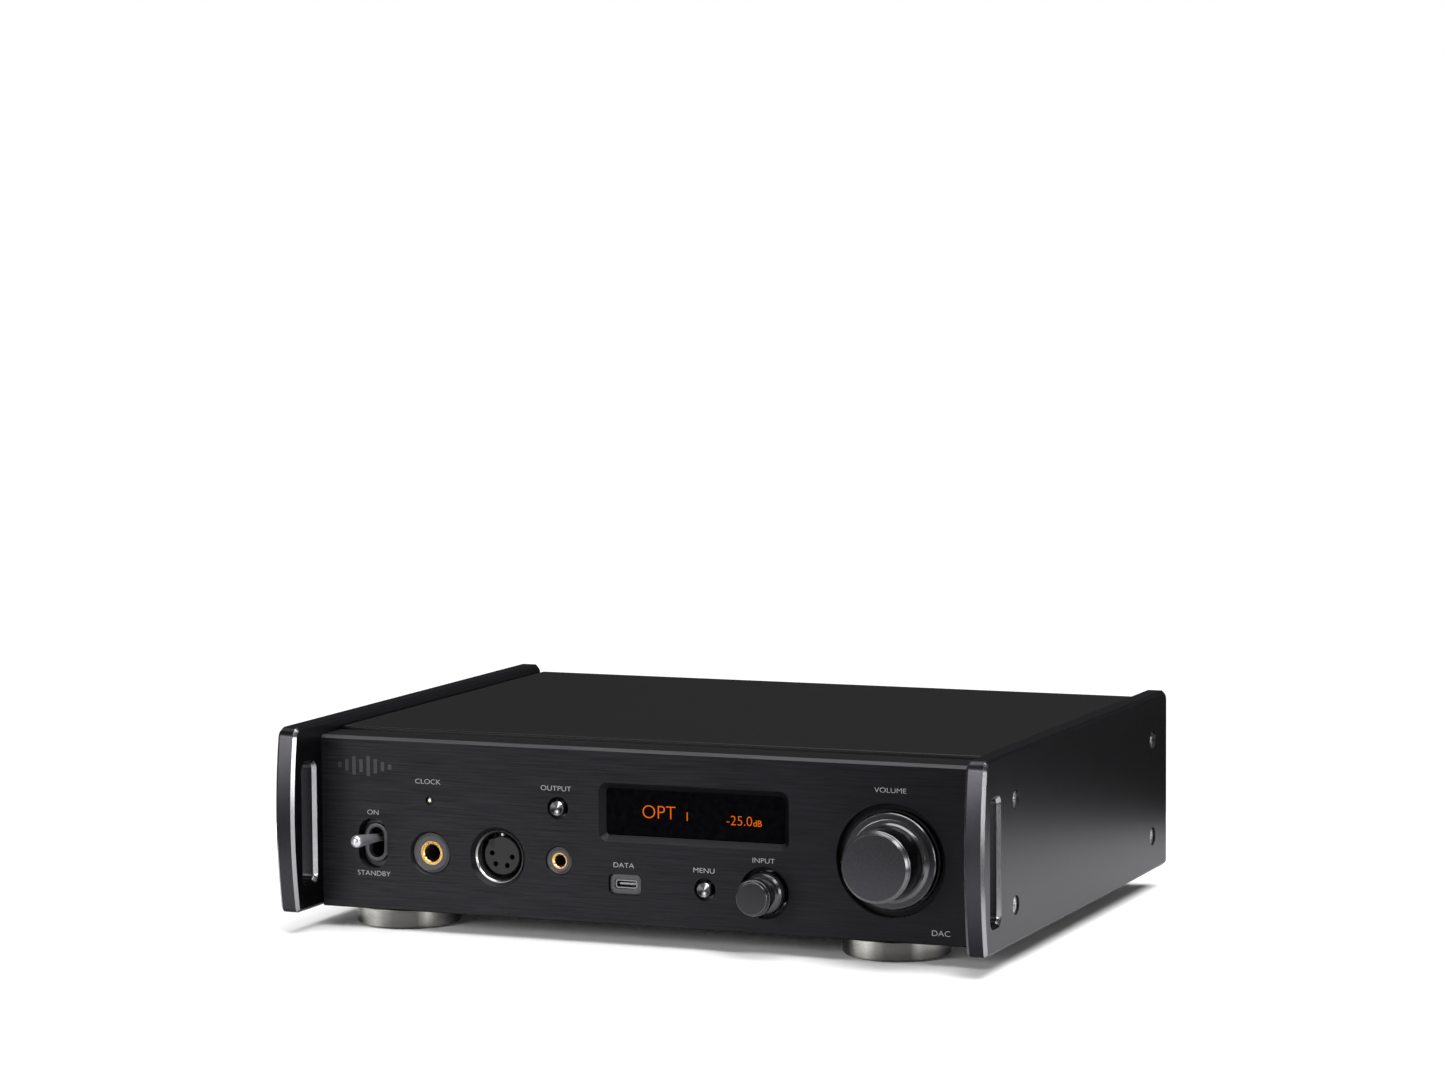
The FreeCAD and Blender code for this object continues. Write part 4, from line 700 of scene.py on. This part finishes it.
def make_input_knob():
    """A narrow knob with a stepped end over a skirt at the panel."""
    proud = reach_of("input_knob")
    radius = size_of("input_knob").x / 2 / MM
    grip = radius - 0.9
    outline = [
        (0.0, -proud), (grip - 1.15, -proud), (grip - 0.75, 0.35 - proud), (grip - 0.65, 0.9 - proud),
        (grip - 0.95, 1.0 - proud), (grip - 0.95, 1.4 - proud), (grip - 0.25, 1.5 - proud),
        (grip, 2.0 - proud), (grip, 3.9 - proud), (grip - 0.4, 4.3 - proud), (grip - 1.6, 4.3 - proud),
        (grip - 1.6, -2.6), (radius - 1.3, -2.1), (radius - 0.4, -1.3), (radius, -0.1),
        (radius, 2.6), (0.0, 2.6),
    ]
    piece = turned(
        "input_knob_turned", at_face("input_knob"), outline, finish["input_knob"],
        "input_control", fillet=0.2)
    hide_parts("input_knob")


BUTTON_RADIUS = 2.9


def make_button(node, body):
    """A turned button with a dished end."""
    proud = reach_of(node)
    radius = BUTTON_RADIUS
    outline = [
        (0.0, 0.62 - proud), (0.8, 0.58 - proud), (1.6, 0.38 - proud), (radius - 0.5, 0.06 - proud),
        (radius - 0.35, -proud), (radius, 0.35 - proud), (radius, 5.4), (radius + 2.0, 5.4),
        (radius + 2.0, 6.6), (1.8, 6.6), (1.8, 17.2), (0.0, 17.2),
    ]
    piece = turned(node + "_turned", at_face(node), outline, finish[node], body, fillet=0.08)
    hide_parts(node)


def make_foot(node):
    """A turned disc with vertical sides and fine chamfers."""
    low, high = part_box(node)
    radius = size_of(node).x / 2 / MM
    base = low[2] / MM
    top = high[2] / MM
    centre = middle(node)
    centre.z = 0.0
    outline = [
        (2.2, top), (radius - 0.4, top), (radius, top - 0.4), (radius, base + 0.6), (radius - 0.6, base),
        (radius - 2.4, base), (radius - 2.4, 1.6), (4.3, 1.6), (4.3, 4.6), (2.2, 4.6),
    ]
    piece = turned(node + "_turned", centre, outline, finish[node], "case", "z", 0.12, closed=True)
    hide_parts(node)


def make_xlr_key():
    """A dark disc of painted shade for the plug's key slot at the insert's edge, and the latch tab at the
    socket's top.
    """
    centre = at_face("headphone_xlr_shell")
    face_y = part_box("headphone_xlr_insert")[0][1]
    edge = size_of("headphone_xlr_insert").x / 2
    for name, angle, reach, radius, lift, material in (
        # a dark disc of painted shade for the key slot
        ("xlr_key_slot_shade", 132, edge - 1.2 * MM, 1.6, 0.03, finish["void"]),
        ("xlr_latch_tab", 84, edge + 0.95 * MM, 0.55, 1.6, finish["bright"]),
    ):
        turn = math.radians(angle)
        spot = Vector((centre.x + reach * math.cos(turn), face_y, centre.z + reach * math.sin(turn)))
        outline = [
            (0.0, -lift), (radius * 0.8, -lift), (radius, 0.1 * radius - lift), (radius, 0.3), (0.0, 0.3),
        ]
        turned(name, spot, outline, material, fillet=0.05)


make_volume_knob()
make_input_knob()
make_xlr_key()
make_button("output_button", "output_key")
make_button("menu_button", "menu_key")
for foot in ("foot_front_left", "foot_front_right", "foot_rear"):
    make_foot(foot)

# ---------------------------------------------------------------- printed words and the display's text

PRINT_LIFT = 0.03
PRINT_DEPTH = 0.01
CAPITAL_SHARE = 0.73


def words(name, text, centre, height, material, stretch=1.0, bold=0.0, turn=0):
    """Flat lettering centred on a point of a panel; height is the capital height in mm."""
    curve = bpy.data.curves.new(name, "FONT")
    curve.body = text
    curve.size = height * MM / CAPITAL_SHARE
    curve.align_x = "CENTER"
    curve.align_y = "CENTER"
    curve.offset = bold * MM
    curve.extrude = PRINT_DEPTH * MM
    holder = bpy.data.objects.new(name + "_curve", curve)
    bpy.context.collection.objects.link(holder)
    bpy.context.view_layer.update()
    mesh = bpy.data.meshes.new_from_object(holder.evaluated_get(bpy.context.evaluated_depsgraph_get()))
    bpy.data.objects.remove(holder)
    upright = Matrix.Rotation(math.radians(90), 4, "X")
    wide = Matrix.Diagonal((stretch, 1, 1, 1))
    about = Matrix.Rotation(math.radians(turn), 4, "Z")
    lift = Matrix.Translation((0, -PRINT_LIFT * MM, 0))
    mesh.transform(Matrix.Translation(centre) @ about @ lift @ wide @ upright)
    mesh.name = name
    return add_piece(name, mesh, material)


def beside(node, across, up):
    """A point on the panel's face, offset in millimetres from a node's centre."""
    return at_face(node) + Vector((across * MM, 0, up * MM))


LABEL_STRETCH = 1.2
LABEL_WEIGHT = -0.035
# piece, text, the node it stands by, offset across and up, capital height (millimetres)
LABELS = [
    ("label_on", "ON", "toggle_bezel", 0.2, 12.2, 2.0),
    ("label_standby", "STANDBY", "toggle_bezel", 0.3, -11.8, 2.0),
    ("label_clock", "CLOCK", "clock_led", -0.6, 7.3, 2.0),
    ("label_output", "OUTPUT", "output_button", -0.7, 7.5, 2.0),
    ("label_menu", "MENU", "menu_button", -0.3, 7.2, 2.0),
    ("label_input", "INPUT", "input_knob", -0.2, 12.3, 2.0),
    ("label_volume", "VOLUME", "volume_knob", 0.1, 26.4, 2.0),
    ("label_data", "DATA", "usb_c_socket", -0.4, 7.4, 2.0),
    ("label_type", "DAC", "volume_knob", 19.8, -26.2, 2.2),
]
for name, text, node, across, up, height in LABELS:
    words(name, text, beside(node, across, up), height, finish["print"], LABEL_STRETCH, LABEL_WEIGHT)


REAR_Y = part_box("rear_panel")[1][1]
REAR_LABEL_HEIGHT = 1.8
REAR_LABEL_STRETCH = 1.1
# piece, text, the node it stands over, offset up (millimetres)
REAR_LABELS = [
    ("rear_balanced_left", "BALANCED L", "xlr_output_left", 15.6),
    ("rear_balanced_right", "BALANCED R", "xlr_output_right", 15.6),
    ("rear_line", "LINE", "rca_outputs", 18.6),
    ("rear_clock", "CLOCK", "clock_input", 9.6),
    ("rear_coaxial", "COAX", "coaxial_input", 9.6),
    ("rear_optical", "OPTICAL", "optical_input", 9.6),
    ("rear_data", "DATA", "usb_b_input", 9.6),
    ("rear_power", "AC IN", "ac_inlet", 17.0),
]
for name, text, node, up in REAR_LABELS:
    spot = Vector((middle(node).x, REAR_Y, middle(node).z + up * MM))
    words(name, text, spot, REAR_LABEL_HEIGHT, finish["print"], REAR_LABEL_STRETCH, turn=180)


BAR_HEIGHTS = (2.2, 4.4, 7.2, 5.0, 7.8, 5.6, 3.6, 1.8)
BAR_PITCH = 3.1
BAR_WIDTH = 1.5
BAR_THICKNESS = 0.02


def make_emblem():
    """A generic row of level bars where a maker would put a mark."""
    work = bmesh.new()
    origin = beside("toggle_bezel", -14.0, 30.4)
    for index, height in enumerate(BAR_HEIGHTS):
        centre = origin + Vector((index * BAR_PITCH * MM, -PRINT_LIFT * MM, 0))
        bar = bmesh.ops.create_cube(work, size=1.0)["verts"]
        bmesh.ops.scale(work, vec=(BAR_WIDTH * MM, BAR_THICKNESS * MM, height * MM), verts=bar)
        bmesh.ops.translate(work, vec=centre, verts=bar)
    mesh = bpy.data.meshes.new("level_bar_emblem")
    work.to_mesh(mesh)
    work.free()
    add_piece("level_bar_emblem", mesh, finish["emblem"])


make_emblem()


def make_display_text():
    """The lit characters on the display."""
    window = middle("display_window")
    glass_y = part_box("display_window")[0][1]
    for name, text, across, up, height, weight in [
        ("screen_source", "OPT", -15.1, 0.3, 5.4, -0.13),
        ("screen_number", "1", -3.4, -0.7, 3.6, -0.05),
        ("screen_level", "-25.0", 17.9, -1.2, 3.9, -0.09),
        ("screen_unit", "dB", 25.3, -1.8, 2.5, 0.0),
    ]:
        centre = Vector((window.x + across * MM, glass_y, window.z + up * MM))
        words(name, text, centre, height, finish["pixels"], 1.0, weight)


make_display_text()

# ---------------------------------------------------------------- floor, lights and camera


TABLE_RADIUS = 0.31
FAR_RADIUS = 8.0
FAR_DROP = -0.002


def add_floor(name, radius, height, albedo, glow):
    """A round sheet of pale floor with a little light of its own."""
    work = bmesh.new()
    bmesh.ops.create_circle(work, cap_ends=True, segments=96, radius=radius)
    bmesh.ops.translate(work, vec=(0, 0, height), verts=work.verts)
    mesh = bpy.data.meshes.new(name)
    work.to_mesh(mesh)
    work.free()
    sheet = bpy.data.objects.new(name, mesh)
    bpy.context.collection.objects.link(sheet)
    shader = Shader(name)
    tone = shader.noise(2.0)
    darkest = (albedo,) * 3
    palest = (albedo + 0.02,) * 3
    shader.colour(shader.ramp(tone, 0.2, 0.8, darkest, palest))
    shader.set(Roughness=0.8, Specular_IOR_Level=0.0, Emission_Color=(1, 1, 1, 1), Emission_Strength=glow)
    paint(sheet, shader.material)
    return sheet


def make_stage():
    """A pale table, and a far floor that only the camera sees."""
    add_floor("floor", TABLE_RADIUS, 0.0, 0.92, 0.01)
    far = add_floor("far_floor", FAR_RADIUS, FAR_DROP, 0.0, 1.1)
    far.visible_glossy = False
    far.visible_diffuse = False


def make_world():
    """White where the camera looks past the object, nearly dark in every reflection."""
    world = bpy.data.worlds.new("studio")
    bpy.context.scene.world = world
    world.use_nodes = True
    tree = world.node_tree
    backdrop = tree.nodes["Background"]
    backdrop.inputs["Color"].default_value = (1.0, 1.0, 1.0, 1.0)
    rays = tree.nodes.new("ShaderNodeLightPath")
    strength = tree.nodes.new("ShaderNodeMapRange")
    strength.inputs["To Min"].default_value = 0.03
    strength.inputs["To Max"].default_value = 1.0
    tree.links.new(rays.outputs["Is Camera Ray"], strength.inputs["Value"])
    tree.links.new(strength.outputs["Result"], backdrop.inputs["Strength"])


def add_light(name, place, target, size, power):
    """A rectangular soft box turned towards a point."""
    lamp = bpy.data.lights.new(name, "AREA")
    lamp.shape = "RECTANGLE"
    lamp.size, lamp.size_y = size
    lamp.energy = power
    holder = bpy.data.objects.new(name, lamp)
    bpy.context.collection.objects.link(holder)
    holder.location = place
    holder.visible_camera = False
    holder.rotation_mode = "QUATERNION"
    holder.rotation_quaternion = (Vector(target) - Vector(place)).to_track_quat("-Z", "Y")


SKY_POWER = 5.2
SKY_WIDTH = math.radians(66)
SKY_TILT = (math.radians(-11), math.radians(8), 0)
# name, place, the point it is turned to, width and height, power
SOFT_BOXES = (
    ("front_box", (-0.44, -0.95, 0.34), (-0.08, -0.1, 0.05), (0.46, 0.30), 5.2),
    ("right_box", (1.2, -0.72, 0.14), (0.0, -0.1, 0.04), (0.36, 0.40), 4.4),
    ("key_box", (0.76, -0.64, 1.02), (0.05, -0.1, 0.04), (0.42, 0.42), 5.2),
    ("rear_box", (0.70, 1.20, 0.26), (0.10, 0.0, 0.05), (0.50, 0.36), 1.2),
    ("left_box", (-0.48, -0.75, 0.14), (-0.14, -0.1, 0.04), (0.22, 0.20), 0.5),
)


def make_lights():
    """A wide soft sun for the top and a few soft boxes for the faces and edges."""
    sky = bpy.data.lights.new("sky_dome", "SUN")
    sky.energy = SKY_POWER
    sky.angle = SKY_WIDTH
    holder = bpy.data.objects.new("sky_dome", sky)
    bpy.context.collection.objects.link(holder)
    holder.rotation_euler = SKY_TILT
    for name, place, target, size, power in SOFT_BOXES:
        add_light(name, place, target, size, power)


CAMERA_PLACE = (0.6670, -1.6346, 0.30588)
CAMERA_YAW = math.radians(22.402)
CAMERA_PITCH = math.radians(5.158)
CAMERA_ROLL = math.radians(-0.423)
CAMERA_LENS = 110.87


def make_camera():
    """Stands where a long lens shows three quarters of the front and a little of the top."""
    camera = bpy.data.cameras.new("camera")
    camera.sensor_width = 36.0
    camera.lens = CAMERA_LENS
    camera.clip_end = 100.0
    obj = bpy.data.objects.new("camera", camera)
    bpy.context.collection.objects.link(obj)
    ahead = math.cos(CAMERA_PITCH)
    forward = Vector((-math.sin(CAMERA_YAW) * ahead, math.cos(CAMERA_YAW) * ahead, -math.sin(CAMERA_PITCH)))
    level = Vector((math.cos(CAMERA_YAW), math.sin(CAMERA_YAW), 0.0))
    upright = level.cross(forward)
    right = level * math.cos(CAMERA_ROLL) + upright * math.sin(CAMERA_ROLL)
    up = upright * math.cos(CAMERA_ROLL) - level * math.sin(CAMERA_ROLL)
    turn = Matrix((right, up, -forward)).transposed().to_4x4()
    obj.matrix_world = Matrix.Translation(CAMERA_PLACE) @ turn
    bpy.context.scene.camera = obj


make_stage()
make_world()
make_lights()
make_camera()
bpy.context.scene.view_settings.view_transform = "Standard"
